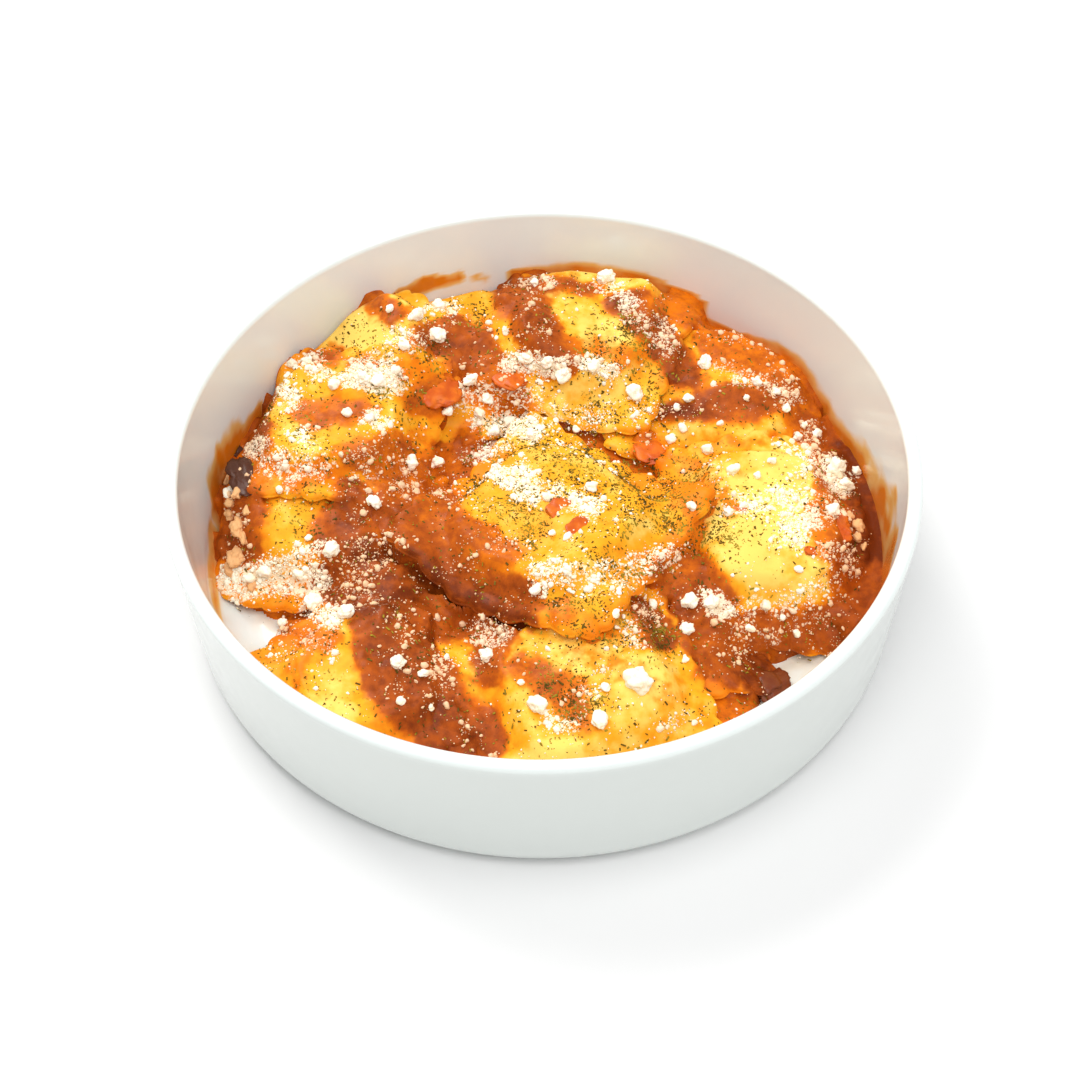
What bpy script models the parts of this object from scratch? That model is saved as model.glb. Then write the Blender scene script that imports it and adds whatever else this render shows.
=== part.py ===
"""Square ravioli in tomato sauce, heaped in a round porcelain bowl.

The bowl is turned from one profile. A bed of sauce fills its foot, and the ravioli are laid on the bed one
after another, from the lowest to the highest. Each is a flat fluted square with a pillow of filling, which
bends over whatever is already under it. All sizes are in millimetres, and become metres as a mesh is made.
The origin is at the middle of the bowl's foot, with +Z up and the serving side towards -Y.
"""

import math
from dataclasses import dataclass

import bmesh
import bpy
import numpy as np

MM = 0.001
GAP = 0.9  # clear height left between two pieces that rest on each other

# Bowl
RIM_HEIGHT = 46.0
RIM_RADIUS = 93.8
RIM_WALL = 3.8
HEEL_RADIUS = 90.0  # outside, where the wall turns in to the foot
HEEL_ROUND = 7.0
FLOOR = 4.5
INSIDE_RADIUS = 86.3  # inside, at the top of the round between wall and floor
INSIDE_ROUND = 12.0
FOOT_OUTER, FOOT_INNER, FOOT_RECESS = 80.0, 72.0, 1.2
BOWL_SIDES = 48

# Bed of sauce: its depth over the floor, and the humps where it is heaped up
BED_DEPTH = 6.5
BED_HUMPS = (  # x, y, radius, height
    (4, 8, 28, 9),
    (-38, -10, 16, 5),
    (-40, 74, 26, 7),
    (14, 84, 34, 12),
    (66, 52, 30, 5),
    (74, -6, 24, 4),
    (-70, 10, 24, 3),
)
BARE_SPOTS = ((191, 20, 11), (-30, 27, 15))  # bearing and half-width in degrees, and how far the bed draws in
BED_EDGE = 1.5
BED_FALL = 16.0  # over how far the bed thins out towards a bare spot
BED_SIDES = 48
BED_RINGS = (0.16, 0.32, 0.48, 0.63, 0.77, 0.87, 0.94, 1.0)

# Ravioli
PASTA_EDGE = 2.4  # the two sheets of pasta pressed together
FLUTES_A_SIDE = 8
FLUTE_DEPTH = 0.7
CORNER_POWER = 9.0  # of the outline, which is nearly square
PILLOW_POWER = 3.0  # of the pillow, which is rounder
PILLOW_FOOT, PILLOW_SLOPE = 1.18, 0.30  # where the pillow rises, and over how far, in shares of its size
PILLOW_SHOULDER = 0.72  # share of its height that the pillow has at its shoulder
PILLOW_CROWN = 0.8  # power of the dome above the shoulder
RING_SIZES = ((1.20, 2), (0.92, 2), (0.52, 4))  # against the pillow, and how many points of the edge make one
SQUEEZE_FROM, SQUEEZE_TO = 73.0, 83.6  # pasta that would reach past the wall is squeezed between these radii
STIFFNESS = 3.0  # pasta bridges over hollows narrower than twice this
BEND_STEP = 1.5
BEND_BEYOND = 6.0  # how far past its edge a raviolo's bending is worked out
BEND_ROUNDS = 1200
SAG = 0.02  # how much the pasta sinks in a round of bending
FAST_ROUNDS, FAST_SAG = 300, 0.08  # and in the first of them
EVENING_ROUNDS = 6
LIFT_ROUNDS, LIFT_SHARE = 3, 0.7  # steps by which a raviolo is lifted clear of what its facets would cut

# Height map of what is already in the bowl
CELL = 0.5
MAP_SIDE = 96.0


@dataclass
class Raviolo:
    """One raviolo: its middle, its turn in degrees, its size and how far one corner is drawn out."""

    name: str
    x: float
    y: float
    turn: float
    length: float
    width: float
    pillow: float = 8.0
    margin: float = 9.0
    drawn: tuple = (0.0, 0.0)


RAVIOLI = (
    Raviolo("ravioli_low_right", 29, -28, 20, 50, 50, pillow=4),
    Raviolo("ravioli_left", -57, 6, -14, 58, 58),
    Raviolo("ravioli_front_left", -44, -45, 28, 54, 54, margin=10),
    Raviolo("ravioli_front", 8, -49, 22, 60, 58),
    Raviolo("ravioli_mid_back", -20, 57, 18, 52, 52, pillow=6),
    Raviolo("ravioli_back_left", -51, 57, -34, 56, 54),
    Raviolo("ravioli_back_right", 50, 47, -20, 58, 58, pillow=7),
    Raviolo("ravioli_back", 16, 66, -20, 58, 58),
    Raviolo("ravioli_right", 57, -2, 2, 55, 62, pillow=9),
    Raviolo("ravioli_upper_left", -54, 30, -10, 54, 52),
    Raviolo("ravioli_centre", 2, -3, 51, 64, 64, pillow=9, drawn=(6, 1)),
)


def clear_scene():
    """Remove every object that the scene starts with."""
    for thing in list(bpy.data.objects):
        bpy.data.objects.remove(thing, do_unlink=True)


def plain_material(name, colour, roughness):
    """A Principled BSDF of one colour."""
    material = bpy.data.materials.new(name)
    material.use_nodes = True
    shader = material.node_tree.nodes["Principled BSDF"]
    shader.inputs["Base Color"].default_value = (*colour, 1.0)
    shader.inputs["Roughness"].default_value = roughness
    shader.inputs["Metallic"].default_value = 0.0
    return material


def add_object(name, bm, material, smooth_under=40.0):
    """Turn a bmesh in millimetres into an object in metres."""
    bmesh.ops.scale(bm, vec=(MM, MM, MM), verts=bm.verts)
    mesh = bpy.data.meshes.new(name)
    bm.to_mesh(mesh)
    bm.free()
    mesh.materials.append(material)
    mesh.shade_smooth()
    mesh.set_sharp_from_angle(angle=math.radians(smooth_under))
    thing = bpy.data.objects.new(name, mesh)
    bpy.context.scene.collection.objects.link(thing)
    return thing


# The bowl -----------------------------------------------------------------------------------------


def arc(cx, cz, radius, start, end, steps):
    """Points (r, z) of an arc, its angles in degrees from the outward direction."""
    angles = np.radians(np.linspace(start, end, steps + 1))
    return [(cx + radius * math.cos(a), cz + radius * math.sin(a)) for a in angles]


def bowl_profile():
    """The bowl's half section, from the middle of the foot, up the outside and back to the floor's middle."""
    heel = arc(HEEL_RADIUS - HEEL_ROUND, HEEL_ROUND, HEEL_ROUND, -80, 0, 3)
    half_wall = RIM_WALL / 2
    rim = arc(RIM_RADIUS - half_wall, RIM_HEIGHT - half_wall, half_wall, 0, 180, 6)
    inside = arc(INSIDE_RADIUS - INSIDE_ROUND, FLOOR + INSIDE_ROUND, INSIDE_ROUND, 0, -90, 5)
    foot = [(0, FOOT_RECESS), (FOOT_INNER, FOOT_RECESS), (FOOT_INNER + 1, 0), (FOOT_OUTER, 0)]
    return foot + heel + rim + inside + [(0, FLOOR)]


def make_bowl(material):
    """Turn the profile about the Z axis."""
    bm = bmesh.new()
    verts = [bm.verts.new((r, 0, z)) for r, z in bowl_profile()]
    edges = [bm.edges.new(pair) for pair in zip(verts, verts[1:])]
    bmesh.ops.spin(
        bm, geom=verts + edges, axis=(0, 0, 1), cent=(0, 0, 0), steps=BOWL_SIDES, angle=math.tau
    )
    bmesh.ops.remove_doubles(bm, verts=bm.verts, dist=0.01)
    bmesh.ops.recalc_face_normals(bm, faces=bm.faces)
    return add_object("bowl", bm, material)


def bowl_inside(radius):
    """Height of the bowl's inner face at a radius, allowing for its flat sides."""
    r = np.abs(radius) / math.cos(math.pi / BOWL_SIDES)
    round_from = INSIDE_RADIUS - INSIDE_ROUND
    round_top = FLOOR + INSIDE_ROUND
    into = np.clip(r - round_from, 0, INSIDE_ROUND)
    height = round_top - np.sqrt(INSIDE_ROUND**2 - into**2)
    lean = (RIM_HEIGHT - round_top) / (RIM_RADIUS - RIM_WALL - INSIDE_RADIUS)
    return height + np.maximum(r - INSIDE_RADIUS, 0) * lean


# What is already in the bowl ----------------------------------------------------------------------


class HeightMap:
    """The height of the contents over a square grid of cells."""

    def __init__(self):
        self.ticks = np.arange(-MAP_SIDE, MAP_SIDE + CELL / 2, CELL)
        self.x, self.y = np.meshgrid(self.ticks, self.ticks)
        self.z = bowl_inside(np.hypot(self.x, self.y))

    def at(self, x, y):
        """Height at points, read between the cells."""
        return between(self.z, (x + MAP_SIDE) / CELL, (y + MAP_SIDE) / CELL)

    def cover(self, points, triangles):
        """Raise the map to the top of a mesh."""
        for corners in points[triangles]:
            cells, height = self.under(corners)
            self.z[cells] = np.maximum(self.z[cells], height)

    def lack(self, points, triangles):
        """How far each triangle dips into the map, or zero where it is clear of it."""
        found = []
        for corners in points[triangles]:
            cells, height = self.under(corners)
            over = np.where(np.isfinite(height), self.z[cells] + GAP - height, 0.0)
            found.append(over.max())
        return np.array(found)

    def under(self, corners):
        """The block of cells that a triangle spans, and its height over them, -inf outside it."""
        low = np.floor((corners[:, :2].min(axis=0) + MAP_SIDE) / CELL).astype(int)
        high = np.ceil((corners[:, :2].max(axis=0) + MAP_SIDE) / CELL).astype(int) + 1
        cells = (slice(low[1], high[1]), slice(low[0], high[0]))
        x, y = self.x[cells], self.y[cells]
        (ax, ay, az), (bx, by, bz), (cx, cy, cz) = corners
        area = (by - cy) * (ax - cx) + (cx - bx) * (ay - cy)
        if abs(area) < 1e-6:
            return cells, np.full(x.shape, -np.inf)
        a = ((by - cy) * (x - cx) + (cx - bx) * (y - cy)) / area
        b = ((cy - ay) * (x - cx) + (ax - cx) * (y - cy)) / area
        c = 1 - a - b
        inside = np.minimum(np.minimum(a, b), c) > -0.05
        return cells, np.where(inside, a * az + b * bz + c * cz, -np.inf)


def between(grid, i, j):
    """Read a grid between its cells, at column i and row j."""
    rows, columns = grid.shape
    i0 = np.clip(np.floor(i).astype(int), 0, columns - 2)
    j0 = np.clip(np.floor(j).astype(int), 0, rows - 2)
    a, b = np.clip(i - i0, 0, 1), np.clip(j - j0, 0, 1)
    low = grid[j0, i0] * (1 - a) + grid[j0, i0 + 1] * a
    high = grid[j0 + 1, i0] * (1 - a) + grid[j0 + 1, i0 + 1] * a
    return low * (1 - b) + high * b


# Rings of points, closed into a body ---------------------------------------------------------------


def belt(outer, inner):
    """Triangles between two rings of indices, the inner with as many points as the outer, or half."""
    n, step = len(outer), len(outer) // len(inner)
    faces = []
    for k in range(n):
        a, b = outer[k], outer[(k + 1) % n]
        if step == 1:
            c, d = inner[k], inner[(k + 1) % n]
            faces += [(a, b, d), (a, d, c)]
        elif k % 2 == 0:
            faces += [(a, b, inner[k // 2])]
        else:
            c, d = inner[k // 2], inner[(k // 2 + 1) % len(inner)]
            faces += [(a, b, d), (a, d, c)]
    return faces


def cap(rings):
    """Triangles that close a set of rings, the last of them a single point."""
    faces = []
    for outer, inner in zip(rings[:-2], rings[1:-1]):
        faces += belt(outer, inner)
    last, middle = rings[-2], rings[-1][0]
    faces += [(a, last[(k + 1) % len(last)], middle) for k, a in enumerate(last)]
    return faces


def number_rings(counts):
    """Indices of rings that are stored one after another."""
    starts = np.concatenate([[0], np.cumsum(counts)])
    return [list(range(a, b)) for a, b in zip(starts[:-1], starts[1:])]


def body_faces(counts):
    """Faces of a closed body: a top and a bottom with the same rings, joined round their edge."""
    rings = number_rings(counts)
    total = sum(counts)
    top = cap(rings)
    bottom = [(c + total, b + total, a + total) for a, b, c in top]
    n = len(rings[0])
    side = []
    for k in range(n):
        a, b = k, (k + 1) % n
        side += [(a + total, b + total, b), (a + total, b, a)]
    return top, bottom, side


def add_body(name, top, bottom, counts, material):
    """A closed body from the points of its top and bottom."""
    faces = [face for part in body_faces(counts) for face in part]
    bm = bmesh.new()
    verts = [bm.verts.new(point) for point in np.concatenate([top, bottom])]
    for face in faces:
        bm.faces.new([verts[k] for k in face])
    bmesh.ops.recalc_face_normals(bm, faces=bm.faces)
    return add_object(name, bm, material)


# The bed of sauce ----------------------------------------------------------------------------------


def bed_reach(bearing):
    """How far the bed of sauce goes out, and how bare the floor is there, from 0 to 1."""
    reach = np.full(bearing.shape, INSIDE_RADIUS - 0.9)
    bare = np.zeros(bearing.shape)
    for middle, draw, half_width in BARE_SPOTS:
        off = (np.degrees(bearing) - middle + 180) % 360 - 180
        spot = np.exp(-((off / half_width) ** 2))
        reach -= draw * spot
        bare = np.maximum(bare, spot)
    return reach, bare


def bed_height(x, y):
    """Height of the bed's surface."""
    depth = np.full(np.shape(x), BED_DEPTH)
    for hx, hy, radius, height in BED_HUMPS:
        depth += height * np.exp(-((x - hx) ** 2 + (y - hy) ** 2) / radius**2)
    reach, bare = bed_reach(np.arctan2(y, x))
    inward = np.clip((reach - np.hypot(x, y)) / BED_FALL, 0, 1)
    return FLOOR + BED_EDGE + (depth - BED_EDGE) * (1 - bare * (1 - inward))


def make_bed(heap, material):
    """The sauce that fills the foot of the bowl, up to an uneven outline."""
    bearing = np.linspace(0, math.tau, BED_SIDES, endpoint=False)
    reach, _ = bed_reach(bearing)
    counts = [BED_SIDES] * len(BED_RINGS) + [1]
    fraction = np.repeat(BED_RINGS[::-1], BED_SIDES)
    r = np.append(fraction * np.tile(reach, len(BED_RINGS)), 0.0)
    turn = np.append(np.tile(bearing, len(BED_RINGS)), 0.0)
    x, y = r * np.cos(turn), r * np.sin(turn)
    under = bowl_inside(r) + GAP
    over = np.maximum(bed_height(x, y), under + BED_EDGE)
    top, bottom = np.column_stack([x, y, over]), np.column_stack([x, y, under])
    heap.cover(top, np.array(body_faces(counts)[0]))
    return add_body("sauce", top, bottom, counts, material)


# The ravioli ---------------------------------------------------------------------------------------


def square_bearings(count):
    """Bearings of points spaced evenly round the sides of a square, a corner among them."""
    along = np.arange(count) * 8 / count
    side, t = np.floor(along / 2).astype(int), along % 2 - 1
    u = np.choose(side, [np.ones(count), -t, -np.ones(count), t])
    v = np.choose(side, [t, np.ones(count), -t, -np.ones(count)])
    return np.arctan2(v, u)


def rounded_square(bearing, half_length, half_width, power):
    """Radius of a rounded square at a bearing."""
    c, s = np.abs(np.cos(bearing)) / half_length, np.abs(np.sin(bearing)) / half_width
    return (c**power + s**power) ** (-1 / power)


def place(rav, u, v):
    """A raviolo's own point (u, v) in the bowl, squeezed where it would pass the wall."""
    a, b = rav.length / 2, rav.width / 2
    pull = np.clip((1 - u / a) / 2, 0, 1) ** 2 * np.clip((1 - v / b) / 2, 0, 1) ** 2
    c, s = math.cos(math.radians(rav.turn)), math.sin(math.radians(rav.turn))
    x = rav.x + c * u - s * v + pull * rav.drawn[0]
    y = rav.y + s * u + c * v + pull * rav.drawn[1]
    r = np.hypot(x, y) + 1e-9
    room = SQUEEZE_TO - SQUEEZE_FROM
    beyond = np.maximum(r - SQUEEZE_FROM, 0)
    kept = np.minimum(r, SQUEEZE_FROM) + room * np.tanh(beyond / room)
    return x * kept / r, y * kept / r


def thickness(rav, u, v):
    """Height of a raviolo over its underside: a flat margin, a steep foot and a domed pillow."""
    a, b = rav.length / 2 - rav.margin, rav.width / 2 - rav.margin
    rho = (np.abs(u / a) ** PILLOW_POWER + np.abs(v / b) ** PILLOW_POWER) ** (1 / PILLOW_POWER)
    rise = np.clip((PILLOW_FOOT - rho) / PILLOW_SLOPE, 0, 1)
    rise = rise * rise * (3 - 2 * rise)
    dome = (1 - PILLOW_SHOULDER) * np.clip(1 - rho, 0, 1) ** PILLOW_CROWN
    return PASTA_EDGE + rav.pillow * rise * (PILLOW_SHOULDER + dome)


def relax(sheet):
    """Even out a sheet a little, keeping the slope at its border."""
    wide = np.pad(sheet, 1, mode="edge")
    wide[0], wide[-1] = 2 * wide[1] - wide[2], 2 * wide[-2] - wide[-3]
    wide[:, 0], wide[:, -1] = 2 * wide[:, 1] - wide[:, 2], 2 * wide[:, -2] - wide[:, -3]
    around = wide[1:-1, :-2] + wide[1:-1, 2:] + wide[:-2, 1:-1] + wide[2:, 1:-1]
    return 0.2 * around + 0.2 * sheet


def widen(height, cells):
    """Spread each height of a grid over the cells near it, where it is the highest."""
    wide = height.copy()
    for i in range(-cells, cells + 1):
        for j in range(-cells, cells + 1):
            if 0 < i * i + j * j <= cells * cells:
                wide = np.maximum(wide, np.roll(height, (i, j), axis=(0, 1)))
    return wide


def lay(rav, heap):
    """The underside of a raviolo that bends over the heap, as a function of (u, v)."""
    reach = max(rav.length, rav.width) / 2 + BEND_BEYOND
    ticks = np.arange(-reach, reach + GAP, BEND_STEP)
    u, v = np.meshgrid(ticks, ticks)
    rim = CELL + FLUTE_DEPTH
    outline = rounded_square(np.arctan2(v, u), rav.length / 2 + rim, rav.width / 2 + rim, CORNER_POWER)
    on = np.hypot(u, v) <= outline
    support = np.where(on, heap.at(*place(rav, u, v)) + GAP, -RIM_HEIGHT)
    support = widen(support, round(STIFFNESS / BEND_STEP))
    sheet = np.full(u.shape, support.max())
    for k in range(BEND_ROUNDS):
        sink = FAST_SAG if k < FAST_ROUNDS else SAG
        sheet = np.maximum(relax(sheet) - sink, support)
    for _ in range(EVENING_ROUNDS):
        sheet = relax(sheet)
    return lambda p, q: between(sheet, (p + reach) / BEND_STEP, (q + reach) / BEND_STEP)


def raviolo_rings(rav):
    """Points (u, v) of a raviolo's rings, from its fluted edge to its middle, and how many each has."""
    around = 8 * FLUTES_A_SIDE
    a, b = rav.length / 2, rav.width / 2
    bearing = square_bearings(around)
    edge = rounded_square(bearing, a, b, CORNER_POWER)
    edge = edge - 2 * FLUTE_DEPTH * (np.arange(around) % 2)
    bearings, sizes = [bearing], [edge]
    for share, points_in_one in RING_SIZES:
        ring = square_bearings(around // points_in_one)
        bearings.append(ring)
        sizes.append(share * rounded_square(ring, a - rav.margin, b - rav.margin, PILLOW_POWER))
    bearings.append(np.zeros(1))
    sizes.append(np.zeros(1))
    counts = [len(ring) for ring in bearings]
    bearing, size = np.concatenate(bearings), np.concatenate(sizes)
    return size * np.cos(bearing), size * np.sin(bearing), counts


def make_raviolo(rav, heap, material):
    """Lay one raviolo on the heap, lift it where its facets would cut in, and add it to the heap."""
    u, v, counts = raviolo_rings(rav)
    top_faces = np.array(body_faces(counts)[0])
    x, y = place(rav, u, v)
    under = lay(rav, heap)(u, v)
    for _ in range(LIFT_ROUNDS):
        lift = np.maximum(heap.at(x, y) + GAP - under, 0)
        lack = heap.lack(np.column_stack([x, y, under]), top_faces)
        np.maximum.at(lift, top_faces.ravel(), np.repeat(lack, 3))
        under = under + lift * LIFT_SHARE
    top = np.column_stack([x, y, under + thickness(rav, u, v)])
    heap.cover(top, top_faces)
    return add_body(rav.name, top, np.column_stack([x, y, under]), counts, material)


def main():
    """Make the bowl, the sauce and the ravioli."""
    clear_scene()
    porcelain = plain_material("porcelain", (0.82, 0.80, 0.75), 0.2)
    tomato_sauce = plain_material("tomato_sauce", (0.50, 0.12, 0.02), 0.3)
    pasta = plain_material("pasta", (0.95, 0.62, 0.10), 0.4)
    make_bowl(porcelain)
    heap = HeightMap()
    make_bed(heap, tomato_sauce)
    for rav in RAVIOLI:
        make_raviolo(rav, heap, pasta)


main()
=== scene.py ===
"""The looks of a bowl of square ravioli in tomato sauce, with grated parmesan and dried herbs.

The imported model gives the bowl, the bed of sauce and the ravioli at their real size and place. Each is
replaced by a fine mesh that follows it: the bowl is turned again, every raviolo is laid over what is under it,
and the sauce is poured over and between them. Cheese and herbs are then strewn on the finished surface.

Lengths are in millimetres until a mesh is made. What is poured or strewn is placed by "seen" coordinates: where
a point appears, looking from the serving side, on a level plane at the top of the heap.
"""

import enum
import itertools
import logging
import math
from dataclasses import dataclass, field
from typing import Any, Iterable, Sequence

import bmesh
import bpy
import numpy as np
from mathutils import Euler, Matrix, Vector
from mathutils.bvhtree import BVHTree


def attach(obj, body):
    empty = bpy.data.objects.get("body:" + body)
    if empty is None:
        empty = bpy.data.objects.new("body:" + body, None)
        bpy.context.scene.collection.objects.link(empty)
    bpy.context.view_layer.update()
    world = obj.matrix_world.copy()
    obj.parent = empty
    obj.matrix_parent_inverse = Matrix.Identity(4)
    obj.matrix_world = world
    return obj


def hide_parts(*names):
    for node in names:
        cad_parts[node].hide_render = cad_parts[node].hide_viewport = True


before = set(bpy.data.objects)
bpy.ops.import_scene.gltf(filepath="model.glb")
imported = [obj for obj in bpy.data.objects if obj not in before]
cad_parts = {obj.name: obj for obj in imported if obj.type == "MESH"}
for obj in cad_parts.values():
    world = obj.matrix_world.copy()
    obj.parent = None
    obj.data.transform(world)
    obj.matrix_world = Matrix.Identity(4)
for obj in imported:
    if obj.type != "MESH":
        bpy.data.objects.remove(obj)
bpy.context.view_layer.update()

BODY = "root"
MM = 0.001
Array = np.ndarray
Point = tuple[float, float]

EYE = (-0.9, -433.0, 520.6)  # where the eye is, over the serving side
SEEN_LEVEL = 34.0  # height of the plane that seen coordinates are on

FOOD_RADIUS = 84.5  # how far out food reaches
COAT_EDGE = 5.0  # over what distance the raised coat of sauce fades
STAIN_EDGE = 8.5  # the same for its colour on pasta
OIL_EDGE = 16.0  # the same for the oil round it
POOL_EDGE = 3.2  # the same for the sauce between the ravioli
CHEESE_EDGE = 4.0  # the same for cheese
HERB_EDGE = 6.0  # the same for herbs

log = logging.getLogger("ravioli")


class Slot(str, enum.Enum):
    """The record's material slots."""

    PORCELAIN = "porcelain"
    PASTA = "pasta"
    SAUCE = "tomato_sauce"
    CHEESE = "cheese"
    HERBS = "herbs"


class Seed(enum.IntEnum):
    """Which noise, of many, each uneven thing follows."""

    POURS = 11
    CHEESE = 23
    HERBS = 37
    SMEARS = 53
    FILM = 61
    CREASES = 67
    OIL = 71
    TONE = 75
    PULP = 81
    CLUMPS = 91
    PATCHES = 95
    FLAKES = 97
    POWDER = 101
    GRAINS = 131
    PELLETS = 151
    FLAKE_PLACES = 171
    BITS = 300
    CRUMBS = 500


# Numbers over a grid ------------------------------------------------------------------------------


def smooth(value: Array) -> Array:
    """Ease a value from 0 to 1, flat outside.

    Args:
        value: Numbers, of which those from 0 to 1 are eased.

    Returns:
        The eased numbers.
    """
    t = np.clip(value, 0, 1)
    return t * t * (3 - 2 * t)


def noise(points: Sequence[Array], size: float, seed: int) -> Array:
    """Smooth noise from -1 to 1.

    Args:
        points: The points' coordinates, one array for each axis.
        size: The distance between the noise's own values.
        seed: Which noise, of many.

    Returns:
        The noise at each point.
    """
    cells, shares = [], []
    for axis in points:
        cell = np.floor(axis / size)
        cells.append(cell.astype(np.int64))
        shares.append(smooth(axis / size - cell))
    total = np.zeros(np.shape(points[0]))
    for corner in itertools.product((0, 1), repeat=len(points)):
        key = np.full(total.shape, seed * 92821 + 7, np.int64)
        weight = np.ones(total.shape)
        for cell, share, step, prime in zip(cells, shares, corner, (73856093, 19349663, 83492791)):
            key ^= (cell + step) * prime
            weight *= share if step else 1 - share
        key = (key ^ (key >> 13)) * 1274126177 & 0xFFFFFFFF
        key = (key ^ (key >> 16)) * 2246822519 & 0xFFFFFFFF
        total += weight * ((key >> 8 & 0xFFFF) / 32767.5 - 1)
    return total


def rough(points: Sequence[Array], size: float, seed: int, octaves: int = 3) -> Array:
    """Noise of several sizes, each half as large and half as high as the last.

    Args:
        points: The points' coordinates, one array for each axis.
        size: The size of the largest bumps.
        seed: Which noise.
        octaves: How many sizes.

    Returns:
        The noise at each point, about -1 to 1.
    """
    return sum(noise(points, size / 2**k, seed + k) / 2**k for k in range(octaves))


def pulp_bumps(x: Array, y: Array) -> Array:
    """How the pulp in the sauce lifts it, about -1 to 1."""
    return rough((x, y), 4.5, Seed.PULP, 4)


def tone_drift(places: Sequence[Array]) -> Array:
    """How the sauce's tone drifts from one seen place to another."""
    return 0.12 * rough(places, 9, Seed.TONE)


def blur(grid: Array, rounds: int) -> Array:
    """Even out a grid.

    Args:
        grid: Heights in rows and columns.
        rounds: How often each cell is averaged with its neighbours.

    Returns:
        The evened grid.
    """
    for _ in range(rounds):
        wide = np.pad(grid, 1, mode="edge")
        rows = (wide[:-2] + 2 * wide[1:-1] + wide[2:]) / 4
        grid = (rows[:, :-2] + 2 * rows[:, 1:-1] + rows[:, 2:]) / 4
    return grid


def widen(grid: Array, cells: int) -> Array:
    """Spread the highest values over the cells near them.

    Args:
        grid: Heights in rows and columns.
        cells: How far they spread.

    Returns:
        The grid, each cell the highest within that distance.
    """
    wide = np.pad(grid, cells, mode="edge")
    rows, columns = grid.shape
    best = grid.copy()
    for i, j in itertools.product(range(-cells, cells + 1), repeat=2):
        if 0 < i * i + j * j <= cells * cells + 1:
            part = wide[cells + i : cells + i + rows, cells + j : cells + j + columns]
            best = np.maximum(best, part)
    return best


def narrow(grid: Array, cells: int) -> Array:
    """Spread the lowest values over the cells near them, as widen does the highest."""
    return -widen(-grid, cells)


def between(grid: Array, i: Array, j: Array) -> Array:
    """Read a grid between its cells.

    Args:
        grid: Heights in rows and columns.
        i: The column of each point, with its fraction.
        j: The row of each point, with its fraction.

    Returns:
        The height at each point.
    """
    rows, columns = grid.shape
    i0 = np.clip(np.floor(i).astype(int), 0, columns - 2)
    j0 = np.clip(np.floor(j).astype(int), 0, rows - 2)
    a, b = np.clip(i - i0, 0, 1), np.clip(j - j0, 0, 1)
    low = grid[j0, i0] * (1 - a) + grid[j0, i0 + 1] * a
    high = grid[j0 + 1, i0] * (1 - a) + grid[j0 + 1, i0 + 1] * a
    return low * (1 - b) + high * b


def seen(x: Array, y: Array, z: Array) -> tuple[Array, Array]:
    """Seen coordinates of points.

    Args:
        x: Across the bowl.
        y: Away from the serving side.
        z: Height over what the bowl stands on.

    Returns:
        The two coordinates on the seen plane.
    """
    share = (EYE[2] - SEEN_LEVEL) / (EYE[2] - z)
    return EYE[0] + (x - EYE[0]) * share, EYE[1] + (y - EYE[1]) * share


@dataclass
class HeightMap:
    """Heights over a square grid that spans the bowl."""

    side: float = 94.0
    cell: float = 0.5
    z: Array = field(init=False)

    def __post_init__(self) -> None:
        """Lay out the grid."""
        ticks = np.arange(-self.side, self.side + self.cell / 2, self.cell)
        self.x, self.y = np.meshgrid(ticks, ticks)
        self.z = np.zeros(self.x.shape)

    def read(self, grid: Array, x: Array, y: Array) -> Array:
        """Read a grid of this map's shape at points."""
        return between(grid, (x + self.side) / self.cell, (y + self.side) / self.cell)

    def at(self, x: Array, y: Array) -> Array:
        """Height at points."""
        return self.read(self.z, x, y)

    def cover(self, x: Array, y: Array, z: Array) -> None:
        """Raise the map to a sheet of points.

        Args:
            x: The points' places, in the rows and columns of the sheet.
            y: The same.
            z: Their heights.
        """
        for part in itertools.product((0.0, 0.5), repeat=2):
            self.touch(*(self.shifted(values, *part) for values in (x, y, z)))

    def touch(self, x: Array, y: Array, z: Array) -> None:
        """Raise the map to single points."""
        i = np.round((x + self.side) / self.cell).astype(int)
        j = np.round((y + self.side) / self.cell).astype(int)
        np.maximum.at(self.z, (j, i), z)

    @staticmethod
    def shifted(values: Array, a: float, b: float) -> Array:
        """Values part of the way from each cell of a sheet to the next."""
        rows = values[:-1] * (1 - a) + values[1:] * a
        return rows[:, :-1] * (1 - b) + rows[:, 1:] * b

    def find(self, px: float, py: float) -> tuple[float, float, float]:
        """The point of the surface that is seen at a place.

        Args:
            px: The seen place.
            py: The same.

        Returns:
            Its x, y and z.
        """
        z = np.arange(42.0, 4.0, -0.1)
        share = (EYE[2] - z) / (EYE[2] - SEEN_LEVEL)
        x, y = EYE[0] + (px - EYE[0]) * share, EYE[1] + (py - EYE[1]) * share
        hit = int(np.argmax(self.at(x, y) >= z))
        return float(x[hit]), float(y[hit]), float(z[hit])


# What is poured and strewn ------------------------------------------------------------------------


@dataclass(frozen=True)
class Stroke:
    """A stroke of sauce, cheese or herbs along a line of seen points."""

    points: tuple[Point, ...]
    half_width: float
    amount: float = 1.0
    # For sauce the tone runs from 0, the darkest painted shade of gaps and creases, to 1, bright orange.
    tone: float = 0.5

    def distance(self, x: Array, y: Array) -> Array:
        """How far seen places are from the stroke's line."""
        ends = list(zip(self.points, self.points[1:])) or [(self.points[0], self.points[0])]
        nearest = np.full(np.shape(x), np.inf)
        for (ax, ay), (bx, by) in ends:
            dx, dy = bx - ax, by - ay
            t = np.clip(((x - ax) * dx + (y - ay) * dy) / (dx * dx + dy * dy + 1e-9), 0, 1)
            nearest = np.minimum(nearest, np.hypot(x - ax - t * dx, y - ay - t * dy))
        return nearest


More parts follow.
